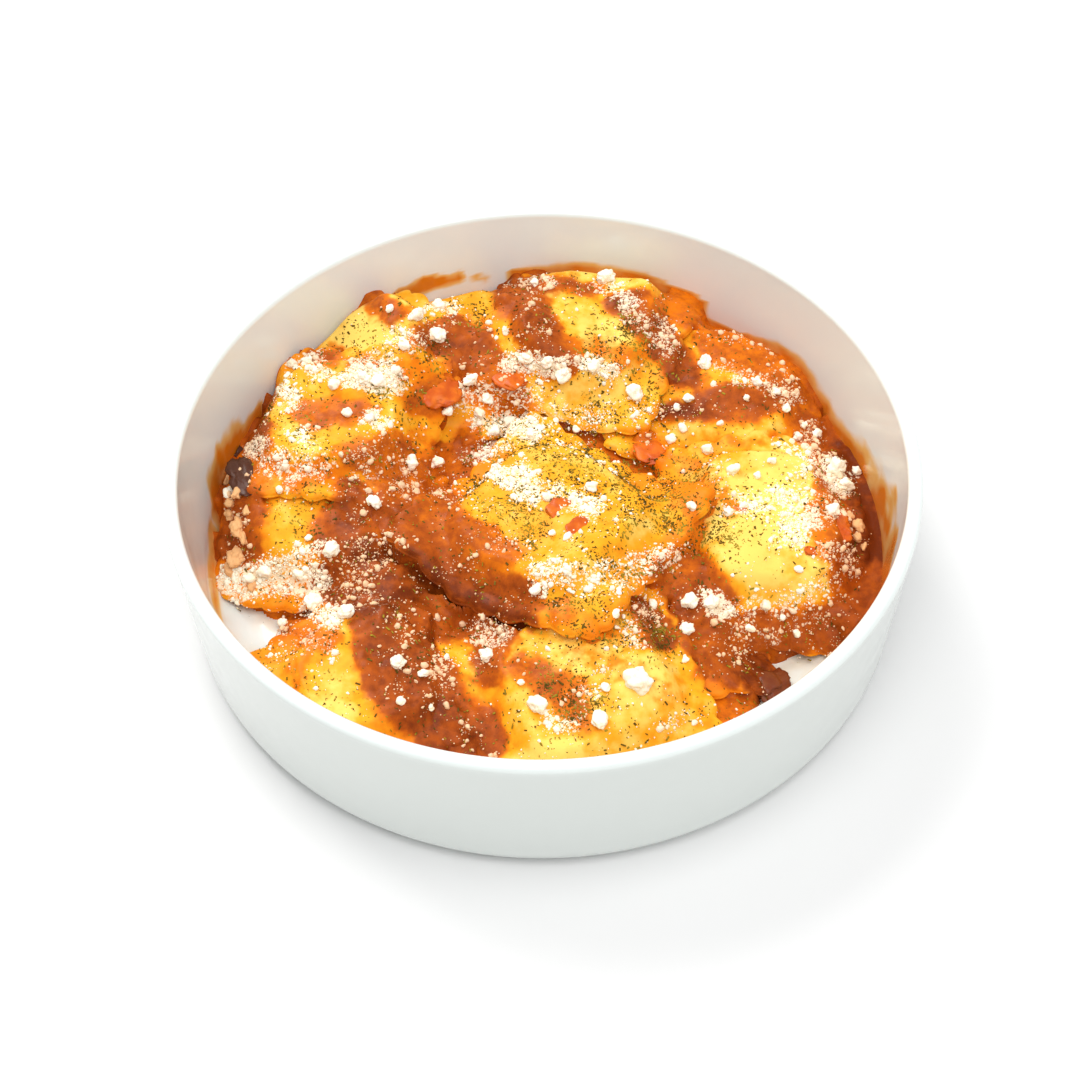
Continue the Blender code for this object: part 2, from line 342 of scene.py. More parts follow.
@dataclass(frozen=True)
class Layer:
    """Strokes that together make up one topping."""

    strokes: tuple[Stroke, ...]
    seed: int
    wander: float = 1.6
    wander_size: float = 6.0

    def spread(self, x: Array, y: Array, soft: float) -> tuple[Array, Array]:
        """How much of the topping lies at seen places, and of what tone it is.

        Args:
            x: The seen places.
            y: The same.
            soft: Over what distance a stroke's edge fades.

        Returns:
            The amount, and the tone from 0 to 1.
        """
        x = x + self.wander * rough((x, y), self.wander_size, self.seed)
        y = y + self.wander * rough((x, y), self.wander_size, self.seed + 9)
        amount, tone = np.zeros(x.shape), np.full(x.shape, 0.6)
        for stroke in self.strokes:
            inside = (stroke.half_width - stroke.distance(x, y)) / soft
            amount = np.maximum(amount, smooth(inside + 0.5) * stroke.amount)
            tone += (stroke.tone - tone) * smooth(inside / 1.5 + 0.6)
        return amount, tone


POURS = Layer(
    (
        # Round the middle raviolo's left edge and down to the front
        Stroke(((-34, 4), (-36, -10), (-22, -24), (-8, -34)), 6, 1.5, 0.4),
        Stroke(((-25, 12), (-30, 4), (-24, -8), (-12, -20)), 5, 1.3, 0.6),
        # Painted shadow: brown sauce tone over the middle raviolo's front tip, standing in for the shade there.
        Stroke(((0, -36), (4, -38)), 3, 0.7, 0.5),
        Stroke(((-18, 19), (-22, 12)), 3.2, 1.1, 0.5),
        Stroke(((-36, -42), (-34, -54), (-28, -64), (-18, -76)), 8, 2.6, 0.2),
        Stroke(((-39, -60), (-33, -70)), 4.5, 1.5, 0.35),
        Stroke(((-30, -38), (-22, -40)), 6, 1.6, 0.45),
        Stroke(((-18, -40), (-12, -46), (-13, -54)), 6, 1.1, 0.45),
        Stroke(((12, -46), (20, -47)), 4, 0.5, 0.9),
        Stroke(((10, -52), (20, -58), (28, -62)), 5, 0.4, 1.0),
        Stroke(((-4, -56), (6, -64), (8, -69)), 4.6, 0.9, 0.5),
        # Painted shade: a thin line of the darkest sauce tone along the crease under the middle raviolo's left edge.
        Stroke(((-39.6, -18.4), (-27.4, -28.6), (-18.6, -32.6), (-8.2, -39.3), (-3, -40.4)), 1.5, 1.5, 0.0),
        # Left
        Stroke(((-48, -2), (-50, -15), (-44, -23)), 6, 1.6, 0.3),
        Stroke(((-42, -28), (-34, -30)), 7, 1.8, 0.08),
        Stroke(((-52, -28), (-46, -34)), 5, 1.3, 0.25),
        Stroke(((-62, -43), (-52, -46)), 4, 1.1, 0.6),
        Stroke(((-58, -50), (-59, -58)), 2, 0.8, 0.9),
        Stroke(((-74.5, 6), (-75, -8), (-74, -18)), 4.6, 1.5, 0.45),
        Stroke(((-78, 24), (-77, 9)), 2.6, 1.6, 0.1),
        Stroke(((-73, 24), (-75, 14)), 4, 1.2, 0.5),
        Stroke(((-72, 36), (-74, 30)), 3, 1.2, 0.15),
        Stroke(((-60, 47), (-54, 49)), 3, 0.9, 0.45),
        Stroke(((-59, 28), (-48, 29)), 3.6, 1.5, 0.6),
        Stroke(((-46, 14), (-38, 14), (-36, 5)), 6, 1.1, 0.6),
        Stroke(((-71, 11), (-63, 6), (-55, 8)), 4.2, 0.8, 0.85),
        Stroke(((-50, 46), (-42, 47)), 2.5, 0.8, 0.45),
        Stroke(((-26, 36), (-28, 32)), 5, 1.6, 0.8),
        Stroke(((-31, 19), (-33, 15)), 3, 0.6, 0.6),
        # Back
        Stroke(((-42, 68), (-40, 65)), 3.5, 1.4, 0.6),
        Stroke(((-26, 56), (-18, 53), (-16, 46)), 7, 1.6, 0.4),
        Stroke(((-30, 44), (-36, 44)), 4, 0.7, 0.9),
        Stroke(((-6, 72), (-2, 62), (2, 52), (6, 46)), 5.5, 1.6, 0.3),
        Stroke(((-10, 44), (-14, 36), (-8, 32)), 5, 1.3, 0.7),
        Stroke(((-4, 75), (8, 75), (14, 73)), 3, 1.2, 0.45),
        Stroke(((24, 68), (29, 58), (34, 48), (37, 41)), 4.5, 1.6, 0.2),
        Stroke(((38, 66), (50, 59), (60, 51)), 6, 2.0, 0.85),
        Stroke(((59, 47), (64, 37), (67, 26)), 5, 1.8, 0.75),
        Stroke(((46, 50), (57, 44)), 5, 1.4, 0.75),
        Stroke(((14, 50), (24, 46)), 5, 0.6, 0.8),
        Stroke(((44, 30), (54, 30), (60, 32)), 6, 1.4, 0.4),
        Stroke(((34, 27), (41, 26)), 3, 1.4, 0.0),
        Stroke(((27, 18), (29, 12)), 4, 1.0, 0.95),
        # Right
        Stroke(((42, 17), (54, 17), (62, 18)), 2.5, 0.5, 0.9),
        Stroke(((36, 12), (42, 4), (45, -5)), 4, 0.5, 1.0),
        Stroke(((72, 18), (75, 8), (75, -4)), 6, 1.6, 0.5),
        Stroke(((72, -8), (72, -18)), 5, 1.5, 0.8),
        Stroke(((78, -24), (76, -38), (68, -46)), 6, 2.0, 0.45),
        Stroke(((78, 12), (81, -2), (80, -22)), 4.2, 2.0, 0.0),
        Stroke(((34, -26), (38, -36), (40, -48), (42, -56)), 6.5, 1.8, 0.4),
        Stroke(((46, -46), (58, -46), (66, -44)), 6, 1.8, 0.45),
        Stroke(((37, -6), (37, -18), (34, -26)), 3.5, 0.7, 0.75),
        Stroke(((27, -73), (36, -70)), 3.4, 0.25, 0.9),
        Stroke(((24, -40), (28, -46)), 4, 1.2, 0.3),
        # Painted shade: the darkest sauce tone at the edge of the bare patch on the right, where it lies in shade.
        Stroke(((49, -57), (51, -63)), 3.4, 1.5, 0.0),
    ),
    seed=Seed.POURS,
)

CHEESE = Layer(
    (
        Stroke(((-48, 41), (-40, 39)), 6, 1.0),
        Stroke(((-44, 27), (-42, 25)), 3, 1.0),
        Stroke(((-62, 22), (-60, 20)), 2.6, 0.9),
        Stroke(((-66, 38), (-64, 31)), 2.6, 0.8),
        Stroke(((-58, 44), (-56, 42)), 3, 0.9),
        Stroke(((-74, -28), (-66, -25), (-58, -28)), 6, 1.0),
        Stroke(((-62, -20), (-56, -17)), 3.5, 0.8),
        Stroke(((-57, -35), (-51, -39)), 3.8, 0.85),
        Stroke(((-50, -31), (-38, -36)), 5, 0.4),
        Stroke(((-46, -20), (-40, -17), (-44, -26)), 5, 0.4),
        Stroke(((-6, 46), (3, 45)), 4.5, 1.0),
        Stroke(((12, 45), (17, 41)), 3.6, 1.0),
        Stroke(((-14, 24), (-3, 22)), 4.5, 1.0),
        Stroke(((-18, 13), (-10, 18)), 3.5, 0.6),
        Stroke(((-8, 6), (-3, 0)), 4.5, 0.95),
        Stroke(((3, 0), (12, -6)), 4, 0.75),
        Stroke(((0, -26), (8, -27.5), (20, -26), (30, -22)), 4.6, 0.68),
        Stroke(((12, -32), (24, -33)), 4, 0.45),
        Stroke(((-1, -31), (1, -26)), 2.6, 0.8),
        Stroke(((40, -34), (42, -38)), 3.5, 1.0),
        Stroke(((52, -5), (60, -2), (66, -10), (60, -16)), 4.6, 0.78),
        Stroke(((73, 7), (75, 1)), 4, 1.0),
        Stroke(((73, -8), (72, -10)), 2.5, 0.7),
        Stroke(((74, -22), (75, -28)), 3, 0.5),
        Stroke(((-71, 16), (-63, 8), (-57, 11)), 5, 0.7),
        Stroke(((-16, -44), (-12, -46)), 4, 0.65),
        Stroke(((49, 41), (58, 37), (64, 31)), 3.4, 0.6),
        Stroke(((60, 46), (58, 52)), 1.6, 0.5),
        Stroke(((48, -38), (62, -38), (66, -32)), 3.5, 0.6),
        Stroke(((46, -44), (54, -48)), 3.5, 0.5),
        Stroke(((60, -43), (64, -42)), 3, 0.5),
        Stroke(((17, 75), (22, 70), (24, 66)), 3.6, 0.8),
        Stroke(((4, 76), (-9, 76)), 2.5, 0.6),
        Stroke(((-28, 68), (-24, 66)), 3, 0.8),
        Stroke(((-38, 56), (-33, 53)), 4.5, 0.62),
        Stroke(((-66, 46), (-60, 49)), 2.8, 0.8),
        Stroke(((-46, 47), (-40, 47)), 3, 0.65),
        Stroke(((0, -71), (6, -72)), 3, 0.8),
        Stroke(((8, -66), (10, -62)), 2.5, 0.6),
        Stroke(((11, -59), (13, -57)), 2.2, 0.4),
        Stroke(((27, -74), (34, -70)), 3, 0.4),
        Stroke(((-25, -54), (-26, -64)), 4, 0.36),
        Stroke(((-20, -70), (-15, -76)), 2.4, 0.35),
        Stroke(((-36, -50), (-34, -58)), 4, 0.35),
        Stroke(((70, -32), (71, -20)), 3, 0.5),
        Stroke(((20, -48), (24, -40)), 4, 0.45),
        Stroke(((24, 64), (30, 58), (33, 50)), 4, 0.58),
        Stroke(((0, 28), (14, 24)), 6, 0.5),
        Stroke(((-46, 12), (-34, 6)), 6, 0.42),
        Stroke(((-20, 34), (-4, 34)), 5, 0.7),
        Stroke(((-2, 66), (2, 60)), 4, 0.35),
        Stroke(((70, 20), (66, 14)), 4, 0.5),
        Stroke(((58, 15), (64, 14)), 1.8, 0.7),
        Stroke(((64, 0), (68, -6), (66, 8)), 4, 0.5),
        Stroke(((-74, 8), (-70, 4)), 3, 0.3),
        Stroke(((-78, 2), (-76, -12), (-74, -22)), 2.6, 0.45),
        Stroke(((-55, -44), (-51, -48)), 3, 0.5),
        Stroke(((20, 30), (28, 26)), 4, 0.4),
    ),
    seed=Seed.CHEESE,
    wander=1.4,
    wander_size=4.0,
)

HERBS = Layer(
    (
        Stroke(((0, 12), (18, 6), (34, 0), (38, -12)), 11, 0.7),
        Stroke(((30, -4), (26, -14)), 7, 0.9),
        Stroke(((-14, 10), (-12, 0), (-4, -10)), 6, 0.7),
        Stroke(((16, 56), (18, 52)), 3, 1.0),
        Stroke(((23, 58), (27, 54), (22, 50)), 4, 1.0),
        Stroke(((14, 48), (28, 44)), 5, 0.5),
        Stroke(((6, -36), (14, -46), (20, -44)), 5, 0.8),
        Stroke(((22, -42), (27, -47)), 4, 1.0),
        Stroke(((3, -62), (8, -68)), 5, 1.0),
        Stroke(((-17, 64), (-18, 62)), 3, 1.0),
        Stroke(((43, -8), (44, -18)), 3.5, 0.9),
        Stroke(((-40, 35), (-34, 31)), 5, 0.6),
        Stroke(((-50, 55), (-34, 48)), 10, 0.3),
        Stroke(((-62, -1), (-58, -9)), 6, 0.35),
        Stroke(((4, -46), (0, -56), (10, -54)), 6, 0.4),
        Stroke(((18, 42), (30, 36)), 8, 0.35),
        Stroke(((-12, 23), (-4, 22)), 4, 0.7),
        Stroke(((8, 28), (24, 28)), 7, 0.45),
        Stroke(((50, -10), (54, -14)), 5, 0.4),
        Stroke(((-64, 30), (-50, 12)), 8, 0.25),
        Stroke(((12, -20), (24, -26)), 7, 0.4),
    ),
    seed=Seed.HERBS,
)

# Smears that the sauce has left high on the bowl's wall
WALL_FILM = Layer(
    (
        Stroke(((-36, 72), (-30, 76), (-22, 78)), 2.2, 0.8),
        Stroke(((-16, 78), (-15, 78)), 1.3, 0.6),
        Stroke(((-45, 66), (-40, 70)), 1.5, 0.5),
    ),
    seed=Seed.SMEARS,
    wander=1.0,
)

# How far the film of sauce reaches up the wall from the food's edge: bearing in degrees and height
FILM_REACH = (
    (-180, 5), (-172, 4), (-167, 2), (-162, 0), (-60, 0), (-42, 0), (-34, 4), (-28, 8), (-22, 14),
    (-14, 21), (-6, 20), (2, 13), (14, 8), (28, 7), (36, 4), (44, 2), (52, 0.5), (68, 0.6), (78, 3),
    (90, 3), (97, 0), (148, 0), (154, 4), (160, 9), (170, 9), (180, 5),
)

# Where the porcelain stays bare, and where a dark crease stays open under a raviolo's edge
BARE = Layer(
    (
        Stroke(((-79, -33), (-72, -42), (-68, -46)), 5.5, 1, 0.05),
        Stroke(((53, -65), (60, -58), (64, -54)), 4.2, 1, 0.1),
    ),
    seed=Seed.FILM,
)
CREASES = Layer(
    (Stroke(((-41, -19), (-27, -29), (-16, -33), (-8, -39), (2, -41)), 2.8),),
    seed=Seed.CREASES,
    wander=0.6,
)

# Crumbs of parmesan: seen place and diameter
CRUMBS = (
    (22, -61, 6.4), (-2, -67, 4.8), (12, -72, 4.4), (-14, -52, 3.6), (-35, -54, 3.6), (-29, -57, 2.6),
    (-27, -67, 1.9), (-34, -65, 2.4), (34, -45, 3.6), (35, -37, 3.8), (26, -37, 2.3), (17, -40, 2.3),
    (-33, 63, 4.0), (-27, 55, 4.0), (24, 33, 4.6), (6, 40, 4.2), (-18, 39, 4.0), (-14, 32, 2.8),
    (-16, 27, 3.0), (-24, 28, 3.0), (-50, 28, 2.6), (-27, 10, 3.8), (-33, 10, 4.0), (-42, -3, 3.6),
    (-54, 38, 3.2), (48, 6, 3.2), (38, 31, 2.6), (35, 28, 2.2), (43, 44, 3.4), (18, 76, 5.0),
    (33, 17, 2.6), (36, 21, 2.6), (42, 13, 3.0), (58, 9, 2.6), (54, 4, 2.0), (37, -6, 2.7), (9, 21, 2.2),
    (-2, -32, 3.0), (-48, -38, 3.6), (-63, -41, 2.6), (-56, -35, 4.2), (-52, -18, 4.0), (-58, -14, 2.0),
    (-36, 52, 3.0), (-9, 57, 2.2), (74, 6, 5.4), (76, 0, 4.0), (79, 5, 2.4), (-66, 2, 2.2), (14, -62, 2.3),
    (22, -57, 2.0), (-6, -60, 1.7), (60, -47, 2.4), (46, -8, 2.6), (6, -15, 2.4), (2, -14, 2.0),
    (62, -27, 2.2), (33, -54, 1.7), (57, -42, 1.8), (12, 1, 3.4), (1, -2, 2.6), (-43, -2, 2.4), (72, -8, 3.4),
    (-68, -25, 3.4), (-72, -27, 3.0), (-60, -26, 3.2), (-46, 40, 3.8), (-42, 39, 3.6), (-38, 43, 2.8),
    (-4, 46, 3.6), (2, 45, 3.4), (14, 43, 3.4), (-8, 24, 3.0), (-3, 19, 2.6), (-12, 21, 2.6), (-44, 26, 3.0),
    (53, -38, 2.8), (49, -45, 2.2), (65, 17, 2.2), (67, 21, 2.4), (70, 18, 2.4), (56, 37, 2.6), (61, 33, 2.2),
    (53, 31, 2.0), (63, 27, 2.2), (-61, 47, 3.0), (-65, 46, 2.6), (-66, 42, 1.8), (-40, 66, 2.2), (-27, 67, 3.0),
    (-1, 75, 2.4), (-79, 1, 3.0), (40, -37, 3.6),
)
# The same, where sauce has soaked them
SOAKED_CRUMBS = (
    (-80, 6, 3.6), (-78, -2, 2.8), (-75.5, -10, 4.2), (-74, -14, 3.2), (-75.5, -20, 4.4), (-78, -6, 3.0),
    (-77, -24, 2.6), (-74, -5, 2.2), (-77, 1, 2.4), (-71, -29, 2.4), (78, -13, 3.0), (77, -17, 2.4),
    (76, -10, 2.0), (78.5, -20, 2.0),
)
CRUMB_CORNERS = 0.4  # how rough the crumbs are, in shares of their radius

# Bits in the sauce: seen place, length, width, turn and how dark; the dark ones are aubergine
SAUCE_BITS = (
    (-9, 41, 13, 9, 120, 0), (4, -5, 7, 6, 20, 0), (9, -11, 7, 5, 60, 0), (49, -7, 4, 3.4, 0, 0),
    (73, -12, 12, 8, 100, 0), (-26, 36, 13, 10, 60, 0), (27, 15, 13, 9, 110, 0), (66, -20, 5, 3.6, 40, 0),
    (-77.5, 18, 11, 6, 100, 1), (-75, 7, 14, 8, 106, 1), (-78, 25, 7, 4.5, 70, 0.8), (53, -62, 11, 8, 60, 0.8),
)


# Meshes -------------------------------------------------------------------------------------------


def add_piece(
    name: str, points: Array, faces: Iterable[Sequence[int]], material: bpy.types.Material
) -> bpy.types.Object:
    """Make a smooth piece that rides on the bowl.

    Args:
        name: The piece's name.
        points: Its vertices in millimetres, one in each row.
        faces: The vertices of each face.
        material: Its finish.

    Returns:
        The new object.
    """
    mesh = bpy.data.meshes.new(name)
    mesh.from_pydata((points * MM).tolist(), [], [list(map(int, face)) for face in faces])
    mesh.materials.append(material)
    mesh.shade_smooth()
    thing = bpy.data.objects.new(name, mesh)
    return enlist(thing)


def enlist(thing: bpy.types.Object) -> bpy.types.Object:
    """Put a finished object in the scene, on the bowl's body."""
    if thing.name not in bpy.context.scene.collection.objects:
        bpy.context.scene.collection.objects.link(thing)
    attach(thing, BODY)
    return thing


def set_attribute(mesh: bpy.types.Mesh, name: str, values: Array) -> None:
    """Store a number on each vertex, under a name that materials can read."""
    attribute = mesh.attributes.new(name, "FLOAT", "POINT")
    attribute.data.foreach_set("value", np.ascontiguousarray(values, np.float32).ravel())


def sheet_faces(rows: int, columns: int, flip: bool = False, start: int = 0) -> Array:
    """Faces of a sheet of points that are stored row by row.

    Args:
        rows: How many rows of points it has.
        columns: How many points are in each row.
        flip: Whether its faces point down.
        start: The first point's index.

    Returns:
        Four indices for each face.
    """
    index = np.arange(rows * columns).reshape(rows, columns) + start
    corners = [index[:-1, :-1], index[:-1, 1:], index[1:, 1:], index[1:, :-1]]
    return np.stack(corners[::-1] if flip else corners, axis=-1).reshape(-1, 4)


def sheet_border(rows: int, columns: int) -> Array:
    """Indices round the border of a sheet of points, anticlockwise from above."""
    index = np.arange(rows * columns).reshape(rows, columns)
    return np.concatenate([index[0, :-1], index[:-1, -1], index[-1, :0:-1], index[:0:-1, 0]])


def belt_faces(lower: Array, upper: Array) -> Array:
    """Faces between two rings of as many indices, both anticlockwise from above, facing outwards."""
    return np.stack([lower, np.roll(lower, -1), np.roll(upper, -1), upper], axis=-1)


def cad_tree(node: str) -> BVHTree:
    """A CAD node's faces, to be met by rays.

    Args:
        node: The node's name.

    Returns:
        The tree, in metres.
    """
    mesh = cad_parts[node].data
    return BVHTree.FromPolygons([v.co.copy() for v in mesh.vertices], [p.vertices[:] for p in mesh.polygons])


def first_hits(tree: BVHTree, x: Array, y: Array, upwards: bool) -> Array:
    """Heights at which upright rays first meet a CAD node.

    Args:
        tree: The node's faces.
        x: Where the rays are.
        y: The same.
        upwards: Whether they come from below.

    Returns:
        The heights in millimetres, NaN for a miss.
    """
    start, way = (-1.0, Vector((0, 0, 1))) if upwards else (1.0, Vector((0, 0, -1)))
    hits = [tree.ray_cast(Vector((a, b, start)), way)[0] for a, b in zip(x.ravel() * MM, y.ravel() * MM)]
    heights = [np.nan if hit is None else hit.z / MM for hit in hits]
    return np.array(heights).reshape(x.shape)


def fill_gaps(grid: Array) -> Array:
    """Carry a grid's known heights outwards over its unknown ones, which are NaN."""
    grid = grid.copy()
    while np.isnan(grid).any():
        wide = np.pad(grid, 1, constant_values=np.nan)
        around = np.stack([wide[:-2, 1:-1], wide[2:, 1:-1], wide[1:-1, :-2], wide[1:-1, 2:]])
        known = ~np.isnan(around)
        mean = np.where(known, around, 0).sum(axis=0) / np.maximum(known.sum(axis=0), 1)
        grid = np.where(np.isnan(grid) & known.any(axis=0), mean, grid)
    return grid


# Node trees ---------------------------------------------------------------------------------------


class Graph:
    """A node tree that is being put together."""

    def __init__(self, tree: bpy.types.NodeTree) -> None:
        """Start with an empty tree."""
        self.tree = tree
        self.tree.nodes.clear()

    def add(self, kind: str, inputs: dict[str | int, Any] | None = None, **settings: Any) -> bpy.types.Node:
        """Add a node.

        Args:
            kind: The node's type.
            inputs: A socket to link, or a value, for each of its inputs.
            **settings: The node's own settings.

        Returns:
            The node.
        """
        node = self.tree.nodes.new(kind)
        for name, value in settings.items():
            setattr(node, name, value)
        for key, value in (inputs or {}).items():
            if isinstance(value, bpy.types.NodeSocket):
                self.tree.links.new(value, node.inputs[key])
            else:
                node.inputs[key].default_value = value
        return node

    def socket(self, name: str, kind: str, way: str = "INPUT", value: Any = None) -> None:
        """Add a named input or output to a group."""
        made = self.tree.interface.new_socket(name, in_out=way, socket_type="NodeSocket" + kind)
        if value is not None:
            made.default_value = value

    def math(self, operation: str, *values: Any) -> bpy.types.NodeSocket:
        """The result of a Math node."""
        return self.add("ShaderNodeMath", dict(enumerate(values)), operation=operation).outputs[0]

    def mix(self, share: Any, a: Any, b: Any) -> bpy.types.NodeSocket:
        """A colour between two others."""
        colours = {0: share, 6: rgba(a), 7: rgba(b)}
        return self.add("ShaderNodeMix", colours, data_type="RGBA").outputs[2]

    def ease(self, value: Any, low: Any, high: Any, to_low: Any = 0.0, to_high: Any = 1.0) -> bpy.types.NodeSocket:
        """A value eased between two limits."""
        inputs = {"Value": value, "From Min": low, "From Max": high, "To Min": to_low, "To Max": to_high}
        return self.add("ShaderNodeMapRange", inputs, interpolation_type="SMOOTHSTEP").outputs[0]

    def noise(self, vector: Any, scale: Any, detail: float = 2.0, roughness: float = 0.5) -> bpy.types.NodeSocket:
        """Noise of so many bumps a metre."""
        inputs = {"Vector": vector, "Scale": scale, "Detail": detail, "Roughness": roughness}
        return self.add("ShaderNodeTexNoise", inputs).outputs[0]

    def attribute(self, name: str) -> bpy.types.NodeSocket:
        """A number that the mesh stores on its vertices."""
        return self.add("ShaderNodeAttribute", attribute_name=name).outputs["Fac"]

    def place(self) -> bpy.types.NodeSocket:
        """A point's own place in the object."""
        return self.add("ShaderNodeTexCoord").outputs["Object"]

    def group(self, tree: bpy.types.NodeTree, inputs: dict[str, Any]) -> bpy.types.Node:
        """Add a node group."""
        return self.add("ShaderNodeGroup", inputs, node_tree=tree)


# Sauce colours by tone; the darkest is painted shade, standing in for the shade on sauce down in gaps and creases.
SAUCE_CREVICE_SHADE = (0.15, 0.024, 0.003)
SAUCE_BROWN = (0.38, 0.072, 0.006)
SAUCE_ORANGE = (0.74, 0.175, 0.003)
CHEESE_POWDER = (0.95, 0.87, 0.66)


def rgba(colour: Any) -> Any:
    """A colour with its alpha, or a socket as it is."""
    return (*colour, 1.0) if isinstance(colour, tuple) and len(colour) == 3 else colour


def new_group(name: str) -> Graph:
    """Start a shader group."""
    return Graph(bpy.data.node_groups.new(name, "ShaderNodeTree"))


def relief_group() -> bpy.types.NodeTree:
    """A bumpy normal.

    Returns:
        The group: Place, Scale and Strength give Normal.
    """
    graph = new_group("fine_relief")
    graph.socket("Place", "Vector")
    graph.socket("Scale", "Float", value=600.0)
    graph.socket("Strength", "Float", value=0.3)
    graph.socket("Normal", "Vector", "OUTPUT")
    given = graph.add("NodeGroupInput").outputs
    height = graph.noise(given["Place"], given["Scale"], 3.0, 0.6)
    inputs = {"Height": height, "Strength": given["Strength"], "Distance": 0.0004}
    graph.add("NodeGroupOutput", {"Normal": graph.add("ShaderNodeBump", inputs).outputs[0]})
    return graph.tree


def sauce_group() -> bpy.types.NodeTree:
    """The colour of tomato sauce, from a painted shade of dark red-brown in the gaps and creases to orange where it is
    thin and oily.

    Returns:
        The group: Place and Tone give Color and Gloss.
    """
    graph = new_group("sauce_colour")
    graph.socket("Place", "Vector")
    graph.socket("Tone", "Float", value=0.5)
    graph.socket("Color", "Color", "OUTPUT")
    graph.socket("Gloss", "Float", "OUTPUT")
    given = graph.add("NodeGroupInput").outputs
    pulp, oil = graph.noise(given["Place"], 480.0, 3.0, 0.6), graph.noise(given["Place"], 120.0, 2.0)
    tone = graph.math("ADD", given["Tone"], graph.ease(oil, 0.3, 0.7, -0.1, 0.1))
    tone = graph.math("ADD", tone, graph.ease(pulp, 0.3, 0.7, -0.12, 0.14))
    colour = graph.mix(graph.ease(tone, -0.1, 0.55), SAUCE_CREVICE_SHADE, SAUCE_BROWN)
    colour = graph.mix(graph.ease(tone, 0.4, 1.1), colour, SAUCE_ORANGE)
    graph.add("NodeGroupOutput", {"Color": colour, "Gloss": graph.ease(oil, 0.3, 0.7, 0.36, 0.5)})
    return graph.tree


def dusting_group() -> bpy.types.NodeTree:
    """Where fine cheese covers what is under it: solid in the middle of a patch, broken up at its edge.

    Returns:
        The group: Place and Amount give Mask.
    """
    graph = new_group("cheese_dusting")
    graph.socket("Place", "Vector")
    graph.socket("Amount", "Float")
    graph.socket("Mask", "Float", "OUTPUT")
    given = graph.add("NodeGroupInput").outputs
    powder = graph.ease(graph.noise(given["Place"], 900.0, 3.0, 0.65), 0.3, 0.7, -0.45, 0.45)
    mask = graph.ease(graph.math("ADD", given["Amount"], powder), 0.68, 1.05, 0.0, 0.8)
    graph.add("NodeGroupOutput", {"Mask": mask})
    return graph.tree


class Groups:
    """The shader groups that several materials share, each built once."""

    def __init__(self) -> None:
        """Build the groups."""
        self.relief = relief_group()
        self.sauce = sauce_group()
        self.dusting = dusting_group()


def dress(name: str, plain: dict[str, Any]) -> tuple[bpy.types.Material, Graph, bpy.types.Node]:
    """Start a material.

    Args:
        name: The material's name.
        plain: Values that are the same all over, by the shader's sockets.

    Returns:
        The material, its node tree and its shader.
    """
    material = bpy.data.materials.new(name)
    material.use_nodes = True
    graph = Graph(material.node_tree)
    shader = graph.add("ShaderNodeBsdfPrincipled", plain)
    graph.add("ShaderNodeOutputMaterial", {"Surface": shader.outputs[0]})
    return material, graph, shader


def feed(graph: Graph, shader: bpy.types.Node, **sockets: Any) -> None:
    """Link sockets to a shader's inputs, by the inputs' names with _ for a space."""
    for name, value in sockets.items():
        graph.tree.links.new(value, shader.inputs[name.replace("_", " ")])


# Finishes -----------------------------------------------------------------------------------------

Colour = tuple[float, float, float]


@dataclass(frozen=True)
class Porcelain:
    """White glaze, painted lighter on the rim's top and inside as painted light and darker down the outer wall as
    painted shade, with a film of sauce where it has run.
    """

    # outside is the glaze with painted shade for the outer wall; inside is the same glaze painted lighter, as painted
    # light on the rim's top and the inner face.
    outside: Colour = (0.69, 0.73, 0.70)
    inside: Colour = (0.79, 0.85, 0.83)
    thin_film: Colour = (0.80, 0.50, 0.16)
    film: Colour = (0.70, 0.20, 0.008)
    thick_film: Colour = (0.36, 0.075, 0.008)
    streaks: float = 140.0

    def material(self, groups: Groups) -> bpy.types.Material:
        """Build the material."""
        made, graph, shader = dress("glazed_porcelain", {"IOR": 1.5, "Coat Roughness": 0.06})
        place = graph.place()
        # inner mixes from the painted shade of the outer wall to the painted light of the rim's top and inside.
        base = graph.mix(graph.attribute("inner"), self.outside, self.inside)
        drift = graph.noise(place, self.streaks, 2.0)
        thin = graph.math("MULTIPLY", graph.attribute("film"), graph.ease(drift, 0.25, 0.65, 0.75, 1.1))
        base = graph.mix(graph.ease(thin, 0.02, 0.35), base, self.thin_film)
        base = graph.mix(graph.ease(thin, 0.25, 0.7), base, self.film)
        base = graph.mix(graph.ease(thin, 0.8, 1.2), base, self.thick_film)
        relief = graph.group(groups.relief, {"Place": place, "Scale": 60.0, "Strength": 0.015})
        glaze = graph.ease(drift, 0.3, 0.7, 0.17, 0.22)
        coat = graph.ease(drift, 0.3, 0.7, 0.3, 0.25)
        feed(graph, shader, Base_Color=base, Roughness=glaze, Coat_Weight=coat, Normal=relief.outputs["Normal"])
        return made


